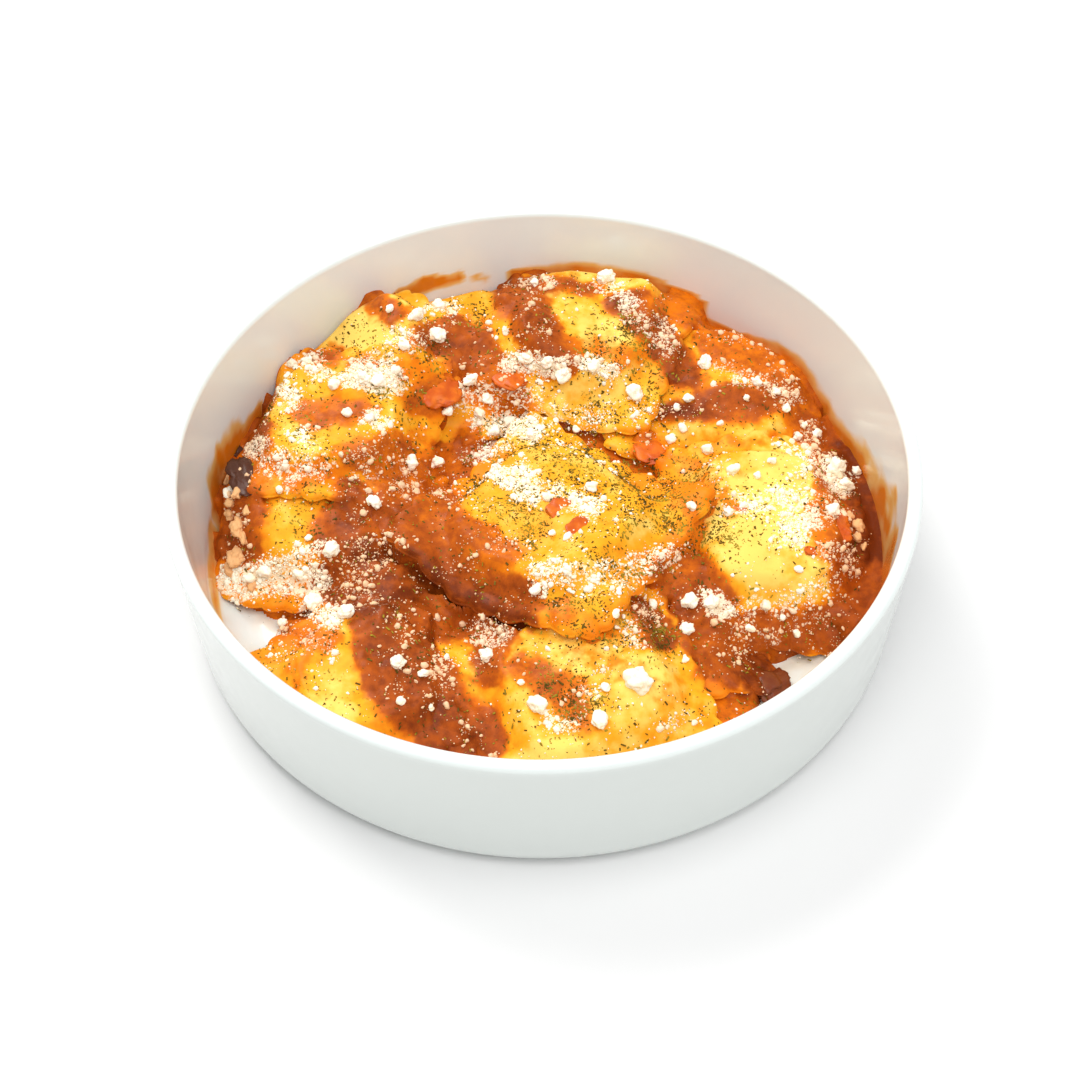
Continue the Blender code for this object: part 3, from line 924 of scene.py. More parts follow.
@dataclass(frozen=True)
class Pasta:
    """Egg pasta, cooked and oily, coated with sauce in places and dusted with cheese and herbs."""

    pale: Colour = (0.90, 0.60, 0.12)
    yellow: Colour = (0.86, 0.375, 0.014)
    deep: Colour = (0.80, 0.22, 0.006)

    def material(self, groups: Groups) -> bpy.types.Material:
        """Build the material.

        Args:
            groups: The shared shader groups.

        Returns:
            The material, which reads oil, sauce, tone and dust from the mesh.
        """
        made, graph, shader = dress("egg_pasta", {"Coat Roughness": 0.2, "Specular IOR Level": 0.09})
        place = graph.place()
        mottle = graph.ease(graph.noise(place, 300.0, 3.0), 0.25, 0.75, -0.2, 0.2)
        oil = graph.math("ADD", graph.attribute("oil"), mottle)
        base = graph.mix(graph.ease(oil, 0.0, 0.55), self.pale, self.yellow)
        base = graph.mix(graph.ease(oil, 0.45, 1.1), base, self.deep)
        sauce = graph.group(groups.sauce, {"Place": place, "Tone": graph.attribute("tone")})
        cover = graph.math("ADD", graph.attribute("sauce"), mottle)
        base = graph.mix(graph.ease(cover, 0.15, 0.7), base, sauce.outputs["Color"])
        dust = graph.group(groups.dusting, {"Place": place, "Amount": graph.attribute("dust")}).outputs[0]
        base = graph.mix(dust, base, CHEESE_POWDER)
        relief = graph.group(groups.relief, {"Place": place, "Scale": 420.0, "Strength": 0.25})
        dull = graph.math("ADD", sauce.outputs["Gloss"], graph.math("MULTIPLY", dust, 0.3))
        coat = graph.ease(dust, 0.0, 0.5, 0.025, 0.0)
        feed(graph, shader, Base_Color=base, Roughness=dull, Coat_Weight=coat, Normal=relief.outputs["Normal"])
        return made


@dataclass(frozen=True)
class TomatoSauce:
    """Cooked tomato sauce, dusted with cheese."""

    def material(self, groups: Groups) -> bpy.types.Material:
        """Build the material."""
        made, graph, shader = dress("tomato_sauce", {"Coat Roughness": 0.15, "Specular IOR Level": 0.08})
        place = graph.place()
        sauce = graph.group(groups.sauce, {"Place": place, "Tone": graph.attribute("tone")})
        relief = graph.group(groups.relief, {"Place": place, "Scale": 420.0, "Strength": 0.35})
        dust = graph.group(groups.dusting, {"Place": place, "Amount": graph.attribute("dust")}).outputs[0]
        base = graph.mix(dust, sauce.outputs["Color"], CHEESE_POWDER)
        gloss = graph.math("ADD", sauce.outputs["Gloss"], graph.math("MULTIPLY", dust, 0.3))
        coat = graph.ease(gloss, 0.36, 0.5, 0.06, 0.01)
        feed(graph, shader, Base_Color=base, Roughness=gloss, Coat_Weight=coat, Normal=relief.outputs["Normal"])
        return made


@dataclass(frozen=True)
class Tomato:
    """Soft bits of tomato flesh, and of aubergine where the mesh says dark."""

    red: Colour = (0.52, 0.080, 0.006)
    orange: Colour = (0.66, 0.14, 0.006)
    dark: Colour = (0.075, 0.022, 0.010)

    def material(self, groups: Groups) -> bpy.types.Material:
        """Build the material."""
        made, graph, shader = dress("tomato_flesh", {"Specular IOR Level": 0.25})
        place = graph.place()
        flesh = graph.noise(place, 300.0, 3.0)
        base = graph.mix(graph.ease(flesh, 0.35, 0.7), self.red, self.orange)
        base = graph.mix(graph.attribute("dark"), base, self.dark)
        relief = graph.group(groups.relief, {"Place": place, "Scale": 380.0, "Strength": 0.3})
        gloss = graph.ease(flesh, 0.3, 0.7, 0.28, 0.42)
        feed(graph, shader, Base_Color=base, Roughness=gloss, Normal=relief.outputs["Normal"])
        return made


@dataclass(frozen=True)
class Parmesan:
    """Grated hard cheese, cream where it is dry and pink where the sauce has soaked it."""

    cream: Colour = (0.98, 0.93, 0.79)
    shade: Colour = (0.94, 0.82, 0.58)
    soaked: Colour = (0.78, 0.40, 0.15)

    def material(self, groups: Groups) -> bpy.types.Material:
        """Build the material."""
        made, graph, shader = dress("grated_parmesan", {"Specular IOR Level": 0.3})
        place = graph.place()
        crumb = graph.noise(place, 500.0, 3.0)
        base = graph.mix(graph.ease(crumb, 0.35, 0.75), self.cream, self.shade)
        base = graph.mix(graph.math("MULTIPLY", graph.attribute("soaked"), 0.85), base, self.soaked)
        relief = graph.group(groups.relief, {"Place": place, "Scale": 1500.0, "Strength": 0.5})
        dull = graph.ease(crumb, 0.3, 0.7, 0.6, 0.8)
        feed(graph, shader, Base_Color=base, Roughness=dull, Normal=relief.outputs["Normal"])
        return made


@dataclass(frozen=True)
class DriedHerbs:
    """Crushed basil and oregano, olive to nearly black."""

    olive: Colour = (0.33, 0.23, 0.02)
    dark: Colour = (0.10, 0.062, 0.008)

    def material(self, groups: Groups) -> bpy.types.Material:
        """Build the material."""
        made, graph, shader = dress("dried_herbs", {"Specular IOR Level": 0.1})
        place = graph.place()
        leaf = graph.noise(place, 260.0, 1.0)
        base = graph.mix(graph.ease(leaf, 0.38, 0.58), self.olive, self.dark)
        relief = graph.group(groups.relief, {"Place": place, "Scale": 2500.0, "Strength": 0.4})
        dull = graph.ease(leaf, 0.3, 0.7, 0.6, 0.85)
        feed(graph, shader, Base_Color=base, Roughness=dull, Normal=relief.outputs["Normal"])
        return made


@dataclass(frozen=True)
class StudioFloor:
    """A plain pale floor."""

    white: Colour = (0.78, 0.78, 0.78)

    def material(self, groups: Groups) -> bpy.types.Material:
        """Build the material."""
        made, graph, shader = dress("studio_floor", {"Base Color": rgba(self.white)})
        paper = graph.ease(graph.noise(graph.place(), 40.0), 0.3, 0.7, 0.8, 0.9)
        relief = graph.group(groups.relief, {"Place": graph.place(), "Scale": 200.0, "Strength": 0.02})
        feed(graph, shader, Roughness=paper, Normal=relief.outputs["Normal"])
        return made


# The bowl -----------------------------------------------------------------------------------------


@dataclass(frozen=True)
class Bowl:
    """A round porcelain bowl, turned from one profile."""

    rim_height: float = 46.0
    rim_radius: float = 93.8
    rim_wall: float = 3.8
    heel_radius: float = 90.0
    heel_round: float = 7.0
    floor: float = 4.5
    inside_radius: float = 86.3
    inside_round: float = 12.0
    foot: tuple[Point, ...] = ((0.0, 1.2), (30.0, 1.2), (60.0, 1.2), (71.5, 1.2), (72.2, 0.5), (73.0, 0.0), (80.0, 0.0))
    sides: int = 224
    step: float = 1.3

    def arc(self, centre: Point, radius: float, start: float, end: float, steps: int) -> list[Point]:
        """Points (r, z) of an arc, its angles in degrees from the outward direction."""
        angles = np.radians(np.linspace(start, end, steps + 1))
        return [(centre[0] + radius * math.cos(a), centre[1] + radius * math.sin(a)) for a in angles]

    def line(self, start: Point, end: Point) -> list[Point]:
        """Points between two ends, a step apart."""
        count = max(int(math.dist(start, end) / self.step), 1)
        shares = np.linspace(0, 1, count + 1)[1:-1]
        return [(start[0] + (end[0] - start[0]) * t, start[1] + (end[1] - start[1]) * t) for t in shares]

    def profile(self) -> list[Point]:
        """The half section from the foot's middle, up the outside and back to the floor's middle."""
        half = self.rim_wall / 2
        heel = self.arc((self.heel_radius - self.heel_round, self.heel_round), self.heel_round, -80, 0, 10)
        rim = self.arc((self.rim_radius - half, self.rim_height - half), half, 0, 180, 16)
        inside = self.arc(
            (self.inside_radius - self.inside_round, self.floor + self.inside_round), self.inside_round, 0, -90, 16
        )
        floor = self.line(inside[-1], (0, self.floor))
        outer, inner = self.line(heel[-1], rim[0]), self.line(rim[-1], inside[0])
        return [*self.foot, *heel, *outer, *rim, *inner, *inside, *floor, (0, self.floor)]

    def inside_height(self, radius: Array) -> Array:
        """Height of the inner face at a radius."""
        start, top = self.inside_radius - self.inside_round, self.floor + self.inside_round
        into = np.clip(radius - start, 0, self.inside_round)
        lean = (self.rim_height - top) / (self.rim_radius - self.rim_wall - self.inside_radius)
        height = top - np.sqrt(self.inside_round**2 - into**2)
        return height + np.maximum(radius - self.inside_radius, 0) * lean

    def wall_radius(self, height: Array) -> Array:
        """Radius of the inner face at a height above its round."""
        top = self.floor + self.inside_round
        lean = (self.rim_radius - self.rim_wall - self.inside_radius) / (self.rim_height - top)
        return self.inside_radius + np.maximum(height - top, 0) * lean

    def build(self, material: bpy.types.Material) -> bpy.types.Object:
        """Turn the bowl and mark its rim's top and inside, where the glaze is painted lighter as painted light.

        Args:
            material: The glaze.

        Returns:
            The bowl.
        """
        r, z = np.array(self.profile()).T
        turn = np.linspace(0, math.tau, self.sides, endpoint=False)
        x, y = np.outer(r[1:-1], np.cos(turn)), np.outer(r[1:-1], np.sin(turn))
        height = np.repeat(z[1:-1, None], self.sides, axis=1)
        points = np.stack([x, y, height], axis=-1).reshape(-1, 3)
        points = np.concatenate([points, [(0, 0, z[0]), (0, 0, z[-1])]])
        rings = np.arange(len(points) - 2).reshape(len(r) - 2, self.sides)
        faces = [face for a, b in zip(rings, rings[1:]) for face in belt_faces(a, b)]
        below, above = len(points) - 2, len(points) - 1
        faces += [(below, b, a) for a, b in zip(rings[0], np.roll(rings[0], -1))]
        faces += [(above, a, b) for a, b in zip(rings[-1], np.roll(rings[-1], -1))]
        bowl = add_piece("porcelain_bowl", points, faces, material)
        # Painted light: the share of the glaze's lighter, lit copy, rising from 0 just below the rim's round to 1 over
        # the rim's top and all down the inside.
        at_rim = int(np.argmax(z))
        inner = smooth((np.arange(len(r)) - at_rim + 10) / 6)
        set_attribute(bowl.data, "inner", np.append(np.repeat(inner[1:-1], self.sides), (0.0, 1.0)))
        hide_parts("bowl")
        return bowl

    def stain(self, bowl: bpy.types.Object, heap: HeightMap) -> None:
        """Mark the film of sauce on the wall above the food's edge, and the smears higher up.

        Args:
            bowl: The bowl.
            heap: The food in it.
        """
        points = np.array([v.co[:] for v in bowl.data.vertices]) / MM
        x, y, z = points.T
        bearing = np.degrees(np.arctan2(y, x))
        turn = np.radians(bearing)
        edge = heap.at(FOOD_RADIUS * np.cos(turn), FOOD_RADIUS * np.sin(turn))
        reach = np.interp(bearing, *np.array(FILM_REACH, float).T)
        uneven = 1 + 0.5 * rough((x, y, z), 8.0, Seed.FILM)
        film = np.clip((reach * uneven - (z - edge)) / np.maximum(reach, 0.5), 0, 1) * (reach > 0.3)
        film *= np.interp(reach, (6, 14), (0.6, 1.0))  # thinner where it is low
        smears, _ = WALL_FILM.spread(*seen(x, y, z), soft=3.0)
        radius = np.hypot(x, y)
        within = radius < self.wall_radius(z) + 0.5
        on_wall = smooth((radius - 83) / 2) * within * (z > self.floor + 2) * (z < self.rim_height - 5)
        bare, stained = BARE.spread(*seen(x, y, z), soft=8.0)
        runny = bare * stained * within * (z > 2) * (z < self.floor + 9)
        set_attribute(bowl.data, "film", np.maximum(np.maximum(film, smears) * on_wall, runny))


# The ravioli --------------------------------------------------------------------------------------


@dataclass(frozen=True)
class Raviolo:
    """One raviolo: its CAD node, middle, turn in degrees and sizes, and how far one corner is drawn out."""

    node: str
    x: float
    y: float
    turn: float
    length: float
    width: float
    pillow: float = 8.0
    margin: float = 9.0
    drawn: Point = (0.0, 0.0)
    dent: float = 0.0
    oil: float = 0.2
    edge: float = 2.4
    flute: float = 1.5
    flutes: int = 8
    rings: int = 44
    rest_gap: float = 0.25
    droop: float = 2.2
    coat: float = 0.42
    free_radius: float = 73.0
    squeeze: float = 10.6
    grow_from: float = 76.0
    wall_gap: float = 0.4

    @property
    def seed(self) -> int:
        """A number of its own for its noise."""
        return sum(map(ord, self.node))

    def place(self, u: Array, v: Array) -> tuple[Array, Array]:
        """The place in the bowl of the raviolo's own points, squeezed where they would pass the wall."""
        pull_u = np.clip((1 - 2 * u / self.length) / 2, 0, 1) ** 2
        pull = pull_u * np.clip((1 - 2 * v / self.width) / 2, 0, 1) ** 2
        c, s = math.cos(math.radians(self.turn)), math.sin(math.radians(self.turn))
        x = self.x + c * u - s * v + pull * self.drawn[0]
        y = self.y + s * u + c * v + pull * self.drawn[1]
        r = np.hypot(x, y) + 1e-9
        start = self.free_radius
        kept = np.minimum(r, start) + self.squeeze * np.tanh(np.maximum(r - start, 0) / self.squeeze)
        return x * kept / r, y * kept / r

    def thickness(self, u: Array, v: Array) -> Array:
        """Height over the underside: a flat margin, a steep foot and a domed, uneven pillow."""
        a, b = self.length / 2 - self.margin, self.width / 2 - self.margin
        rho = (np.abs(u / a) ** 3 + np.abs(v / b) ** 3) ** (1 / 3)
        rho = rho + 0.07 * noise((u, v), 11, self.seed)
        rise = smooth((1.18 - rho) / 0.34)
        dome = 0.28 * np.clip(1 - rho, 0, 1) ** 0.8
        uneven = 0.75 * rough((u, v), 13, self.seed + 3) + 0.16 * noise((u, v), 3.5, self.seed + 5)
        hollow = self.dent * np.exp(-((rho / 0.55) ** 2))
        return self.edge + rise * (self.pillow * (0.72 + dome) + uneven - hollow)

    def sheet(self) -> tuple[Array, Array, Array, Array]:
        """The raviolo's own points, in rows and columns that close round to its fluted edge.

        Returns:
            Their u and v, how far out each is from 0 to 1, and the flutes' wave from 0 to 1 at each.
        """
        share = self.edge / self.length
        half = np.append(np.linspace(0, 1 - share, self.rings), 1 - share * np.array([0.62, 0.32, 0.1, 0.0]))
        ticks = np.concatenate([-half[:0:-1], half])
        s, t = np.meshgrid(ticks, ticks)
        out = np.maximum(np.abs(s), np.abs(t))
        along = np.where(np.abs(s) >= np.abs(t), t, s) / np.maximum(out, 1e-6)
        wave = np.abs(np.cos(math.pi * self.flutes / 2 * (along + 1)))
        bearing = np.arctan2(t, s)
        c, d = np.abs(np.cos(bearing)) * 2 / self.length, np.abs(np.sin(bearing)) * 2 / self.width
        radius = out * (c**9 + d**9) ** (-1 / 9)
        ragged = 0.5 * noise((radius * np.cos(bearing), radius * np.sin(bearing)), 9, self.seed + 11)
        radius -= (self.flute * (1 - wave) + 0.3 + ragged) * smooth((out - 0.6) / 0.4)
        return radius * np.cos(bearing), radius * np.sin(bearing), out, wave

    def drape(self, heap: HeightMap, x: Array, y: Array, out: Array) -> Array:
        """The underside: as the CAD node has it, but smooth, and resting on what is below at its edge.

        Args:
            heap: What is already in the bowl.
            x: The sheet's places.
            y: The same.
            out: How far out each is.

        Returns:
            Its heights.
        """
        under = first_hits(cad_tree(self.node), x, y, upwards=True)
        under = blur(fill_gaps(under), 18)
        gap = under - heap.at(x, y)
        under = under + blur(widen(np.maximum(self.rest_gap - gap, 0), 3), 4)
        gap = under - heap.at(x, y)
        drop = np.clip(gap - self.rest_gap, 0, self.droop) * smooth((out - 0.55) / 0.45)
        return under - blur(drop, 6)

    def to_wall(self, x: Array, y: Array, z: Array) -> tuple[Array, Array]:
        """The sheet's places, with those that come near the bowl's wall brought right up to it."""
        r = np.hypot(x, y) + 1e-9
        wall = Bowl().wall_radius(z + self.edge) - self.wall_gap
        most = self.free_radius + self.squeeze
        grown = r + np.maximum(wall - most, 0) * smooth((r - self.grow_from) / (most - self.grow_from))
        return x * grown / r, y * grown / r

    def build(self, heap: HeightMap, material: bpy.types.Material) -> bpy.types.Object:
        """Make the raviolo and add it to the heap.

        Args:
            heap: What is already in the bowl.
            material: The pasta.

        Returns:
            The raviolo.
        """
        u, v, out, wave = self.sheet()
        x, y = self.place(u, v)
        under = self.drape(heap, x, y, out)
        x, y = self.to_wall(x, y, under)
        outer = smooth((out - 0.72) / 0.28)
        ripple = outer * (0.45 * (wave - 0.6) + 0.5 * noise((x, y), 8, self.seed + 2))
        full = self.thickness(u, v)
        half = self.edge / 2
        inset = (1 - out) * self.length / 2
        curve = np.sqrt(1 - (1 - np.clip(inset / half, 0, 1)) ** 2)
        middle = under + half + ripple
        sauce, _ = POURS.spread(*seen(x, y, middle + full), soft=COAT_EDGE)
        pulp = 1 + 0.5 * pulp_bumps(x, y)
        top = middle + (full - half) * curve + self.coat * np.minimum(sauce, 1.5) * pulp * smooth(inset / 3)
        low = middle - half * curve
        points = np.concatenate([np.stack([x, y, z], axis=-1).reshape(-1, 3) for z in (top, low)])
        n, total = u.shape[0], u.size
        border = sheet_border(n, n)
        faces = [*sheet_faces(n, n), *sheet_faces(n, n, flip=True, start=total), *belt_faces(border + total, border)]
        name = self.node.replace("ravioli_", "raviolo_")
        piece = add_piece(name, points, faces, material)
        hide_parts(self.node)
        heap.cover(x, y, top)
        self.strew(piece.data, points, np.tile(smooth((out.ravel() - 0.55) / 0.35), 2))
        return piece

    def strew(self, mesh: bpy.types.Mesh, points: Array, margin: Array) -> None:
        """Mark where sauce and oil have stained the pasta, most on its margin, and where cheese dusts it."""
        places = seen(*points.T)
        sauce, tone = POURS.spread(*places, soft=STAIN_EDGE)
        near, _ = POURS.spread(*places, soft=OIL_EDGE)
        set_attribute(mesh, "sauce", np.minimum(sauce, 1.2))
        set_attribute(mesh, "tone", tone + 0.6 * (1 - np.minimum(sauce, 1)) + tone_drift(places))
        stain = 0.3 * rough(places, 12, Seed.OIL) + 0.3 * margin + 0.6 * np.minimum(near, 1)
        set_attribute(mesh, "oil", self.oil + stain)
        set_attribute(mesh, "dust", CHEESE.spread(*places, soft=CHEESE_EDGE)[0])


RAVIOLI = (
    Raviolo("ravioli_low_right", 29, -28, 20, 50, 50, pillow=4, oil=0.5),
    Raviolo("ravioli_left", -57, 7.5, -14, 58, 55, drawn=(1, 2.5), oil=0.5),
    Raviolo("ravioli_front_left", -44, -45, 28, 54, 54, margin=10, oil=0.4),
    Raviolo("ravioli_front", 8, -49, 22, 60, 58, oil=0.1),
    Raviolo("ravioli_mid_back", -21, 61, 18, 54, 56, pillow=6, oil=0.4),
    Raviolo("ravioli_back_left", -51, 57, -34, 56, 54, oil=0),
    Raviolo("ravioli_back_right", 49, 45.5, -20, 56, 55, pillow=7, oil=0.3),
    Raviolo("ravioli_back", 13, 64.5, -20, 54, 57, oil=0.1),
    Raviolo("ravioli_right", 57, -2, 2, 55, 62, pillow=9, oil=0),
    Raviolo("ravioli_upper_left", -54, 30, -10, 54, 52, dent=3.0, oil=0.35),
    Raviolo("ravioli_centre", 2, -3, 51, 64, 64, pillow=9, drawn=(6, 1), oil=0.45, edge=3.2, droop=0.4),
)


# The sauce ----------------------------------------------------------------------------------------


@dataclass(frozen=True)
class Sauce:
    """Tomato sauce: the bed under the ravioli and what is poured over and between them."""

    bowl: Bowl
    reach: float = 88.6
    cells: int = 288
    sunk: float = 1.2
    into_wall: float = 0.4
    shore: float = 84.8
    seam: int = 5
    pool: int = 20
    pool_fall: float = 1.2
    bare_depth: float = 12.0
    skin: float = 0.6
    bottom_rings: tuple[float, ...] = (88.6, 86.2, 84.8, 83.5, 82.0, 80.0, 78.0, 76.0, 73.5, 60.0, 40.0, 18.0)

    def bed(self, heap: HeightMap) -> Array:
        """Heights of the CAD bed's top, and just inside the bowl's face beyond it."""
        radius = np.hypot(heap.x, heap.y)
        shell = self.bowl.inside_height(np.minimum(radius, self.bowl.inside_radius)) - self.into_wall
        bed = np.minimum(shell, self.bowl.floor - self.into_wall)
        on = radius < 86
        hits = first_hits(cad_tree("sauce"), heap.x[on], heap.y[on], upwards=False)
        bed[on] = np.where(np.isnan(hits), bed[on], hits)
        return np.maximum(blur(bed, 6), shell)

    def surface(self, heap: HeightMap, bed: Array) -> tuple[Array, Array]:
        """The sauce's top: between the ravioli where it is poured, and hidden in or under them elsewhere.

        Args:
            heap: The ravioli on their bed.
            bed: The bed's heights.

        Returns:
            The heights, and the tone from 0 to 1.
        """
        places = seen(heap.x, heap.y, blur(heap.z, 4))
        amount, tone = POURS.spread(*places, soft=POOL_EDGE)
        amount = amount * (1 - CREASES.spread(*places, soft=1.6)[0])
        tone = tone + tone_drift(places)
        pulp = pulp_bumps(heap.x, heap.y)
        seam = blur(narrow(widen(heap.z, self.seam), self.seam), 5) - 0.25
        pool = blur(narrow(widen(heap.z, self.pool), self.pool), 10) - self.pool_fall
        deep = smooth((amount - 1.7) / 0.4)
        over = np.maximum(seam, pool * deep + seam * (1 - deep)) + (0.1 + 0.25 * deep) * pulp
        under = np.maximum(narrow(heap.z, 3) - self.sunk, bed)
        bare, _ = BARE.spread(*seen(heap.x, heap.y, bed), soft=3.0)
        return under + (over - under) * smooth(amount / 0.9) - self.bare_depth * bare, tone

    def grid(self) -> tuple[Array, Array]:
        """Points of a round sheet, in rows and columns."""
        ticks = np.linspace(-1, 1, self.cells + 1)
        s, t = np.meshgrid(ticks, ticks)
        wide = np.abs(s) >= np.abs(t)
        longer, shorter = np.where(wide, s, t), np.where(wide, t, s)
        turn = math.pi / 4 * shorter / np.where(longer == 0, 1, longer)
        a, b = longer * np.cos(turn), longer * np.sin(turn)
        return np.where(wide, a, b) * self.reach, np.where(wide, b, a) * self.reach

    def low(self, radius: Array) -> Array:
        """The sauce's underside, just inside the porcelain."""
        return self.bowl.inside_height(np.minimum(radius, self.shore)) - self.into_wall

    def underside(self, x: Array, y: Array) -> tuple[list[Array], list[Sequence[int]]]:
        """Close the round sheet from below, ring by ring.

        Args:
            x: The sheet's places.
            y: The same.

        Returns:
            The points to add, and the faces of the whole sauce.
        """
        n = self.cells + 1
        border = sheet_border(n, n)
        points: list[Array] = []
        faces = [*sheet_faces(n, n)]
        last, start = border, x.size
        for ring_radius in self.bottom_rings:
            rx, ry = (values.ravel()[border] * ring_radius / self.reach for values in (x, y))
            points.append(np.stack([rx, ry, self.low(np.hypot(rx, ry)) - self.skin], axis=-1))
            ring = np.arange(start, start + len(border))
            faces += [*belt_faces(ring, last)]
            last, start = ring, start + len(border)
        points.append(np.array([[0, 0, self.bowl.floor - self.into_wall - self.skin]]))
        return points, faces + [(start, b, a) for a, b in zip(last, np.roll(last, -1))]

    def build(self, heap: HeightMap, bed: Array, material: bpy.types.Material) -> bpy.types.Object:
        """Pour the sauce and add it to the heap.

        Args:
            heap: The ravioli on their bed.
            bed: The bed's heights.
            material: The sauce.

        Returns:
            The sauce.
        """
        top_map, tone_map = self.surface(heap, bed)
        x, y = self.grid()
        radius = np.hypot(x, y)
        inward = np.minimum(1, self.shore / np.maximum(radius, 1))
        low = self.low(radius)
        top = np.maximum(heap.read(top_map, x * inward, y * inward), low + 0.25)
        below, faces = self.underside(x, y)
        points = np.concatenate([np.stack([x, y, top], axis=-1).reshape(-1, 3), *below])
        piece = add_piece("poured_sauce", points, faces, material)
        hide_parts("sauce")
        set_attribute(piece.data, "tone", heap.read(tone_map, points[:, 0], points[:, 1]))
        set_attribute(piece.data, "dust", CHEESE.spread(*seen(*points.T), soft=CHEESE_EDGE)[0])
        heap.z = np.maximum(heap.z, top_map)
        return piece


# Lumps: crumbs of cheese and bits of tomato ---------------------------------------------------------


def lump(size: Sequence[float], roughness: float, seed: int, finer: int) -> tuple[Array, list[tuple[int, ...]]]:
    """A rough rounded lump about the origin.

    Args:
        size: Its length, width and height.
        roughness: How uneven it is, as a share of its radius.
        seed: Which lump.
        finer: How often its faces are divided.

    Returns:
        Its points and faces.
    """
    bm = bmesh.new()
    bmesh.ops.create_icosphere(bm, subdivisions=finer, radius=1.0)
    points = np.array([v.co[:] for v in bm.verts])
    faces = [tuple(v.index for v in face.verts) for face in bm.faces]
    bm.free()
    grow = 1 + roughness * rough(points.T + 5 + seed, 0.8, seed, 4)
    return points * grow[:, None] * np.array(size) / 2, faces


class LumpPile:
    """Lumps that are joined into one piece."""

    wall_gap: float = 0.3

    def __init__(self) -> None:
        """Start with none."""
        self.points: list[Array] = []
        self.faces: list[tuple[int, ...]] = []
        self.count = 0

    def put(self, points: Array, faces: list[tuple[int, ...]], turn: Euler, place: Sequence[float]) -> None:
        """Add a lump, turned and moved to its place and pressed against the wall where it would pass it."""
        turned = points @ np.array(turn.to_matrix()).T + np.array(place)
        radius = np.hypot(turned[:, 0], turned[:, 1])
        most = Bowl().wall_radius(turned[:, 2]) - self.wall_gap
        turned[:, :2] *= np.minimum(1, most / radius)[:, None]
        self.faces += [tuple(k + self.count for k in face) for face in faces]
        self.points.append(turned)
        self.count += len(points)

    def piece(self, name: str, material: bpy.types.Material, slot: Slot) -> bpy.types.Object:
        """Make the piece."""
        return add_piece(name, np.concatenate(self.points), self.faces, material)


@dataclass(frozen=True)
class SauceBits:
    """Bits of tomato and aubergine that lie half sunk in the sauce."""

    flatness: float = 0.3
    sunk: float = 0.22

    def build(self, heap: HeightMap, material: bpy.types.Material) -> bpy.types.Object:
        """Lay the bits on the heap.

        Args:
            heap: The surface that they lie on.
            material: Their finish.

        Returns:
            All of them as one piece.
        """
        pile = LumpPile()
        shades: list[Array] = []
        for k, (px, py, length, width, turn, dark) in enumerate(SAUCE_BITS):
            x, y, z = heap.find(px, py)
            height = width * self.flatness
            points, faces = lump((length, width, height), 0.3 + 0.2 * dark, Seed.BITS + k, 4)
            sunk = height * self.sunk * (1 - 1.6 * dark)
            pile.put(points, faces, Euler((0.15, 0.1, math.radians(turn))), (x, y, z - sunk))
            shades.append(np.full(len(points), float(dark)))
        heap.touch(*np.concatenate(pile.points).T)
        piece = pile.piece("vegetable_bits", material, Slot.SAUCE)
        set_attribute(piece.data, "dark", np.concatenate(shades))
        return piece


# Cheese and herbs -----------------------------------------------------------------------------------


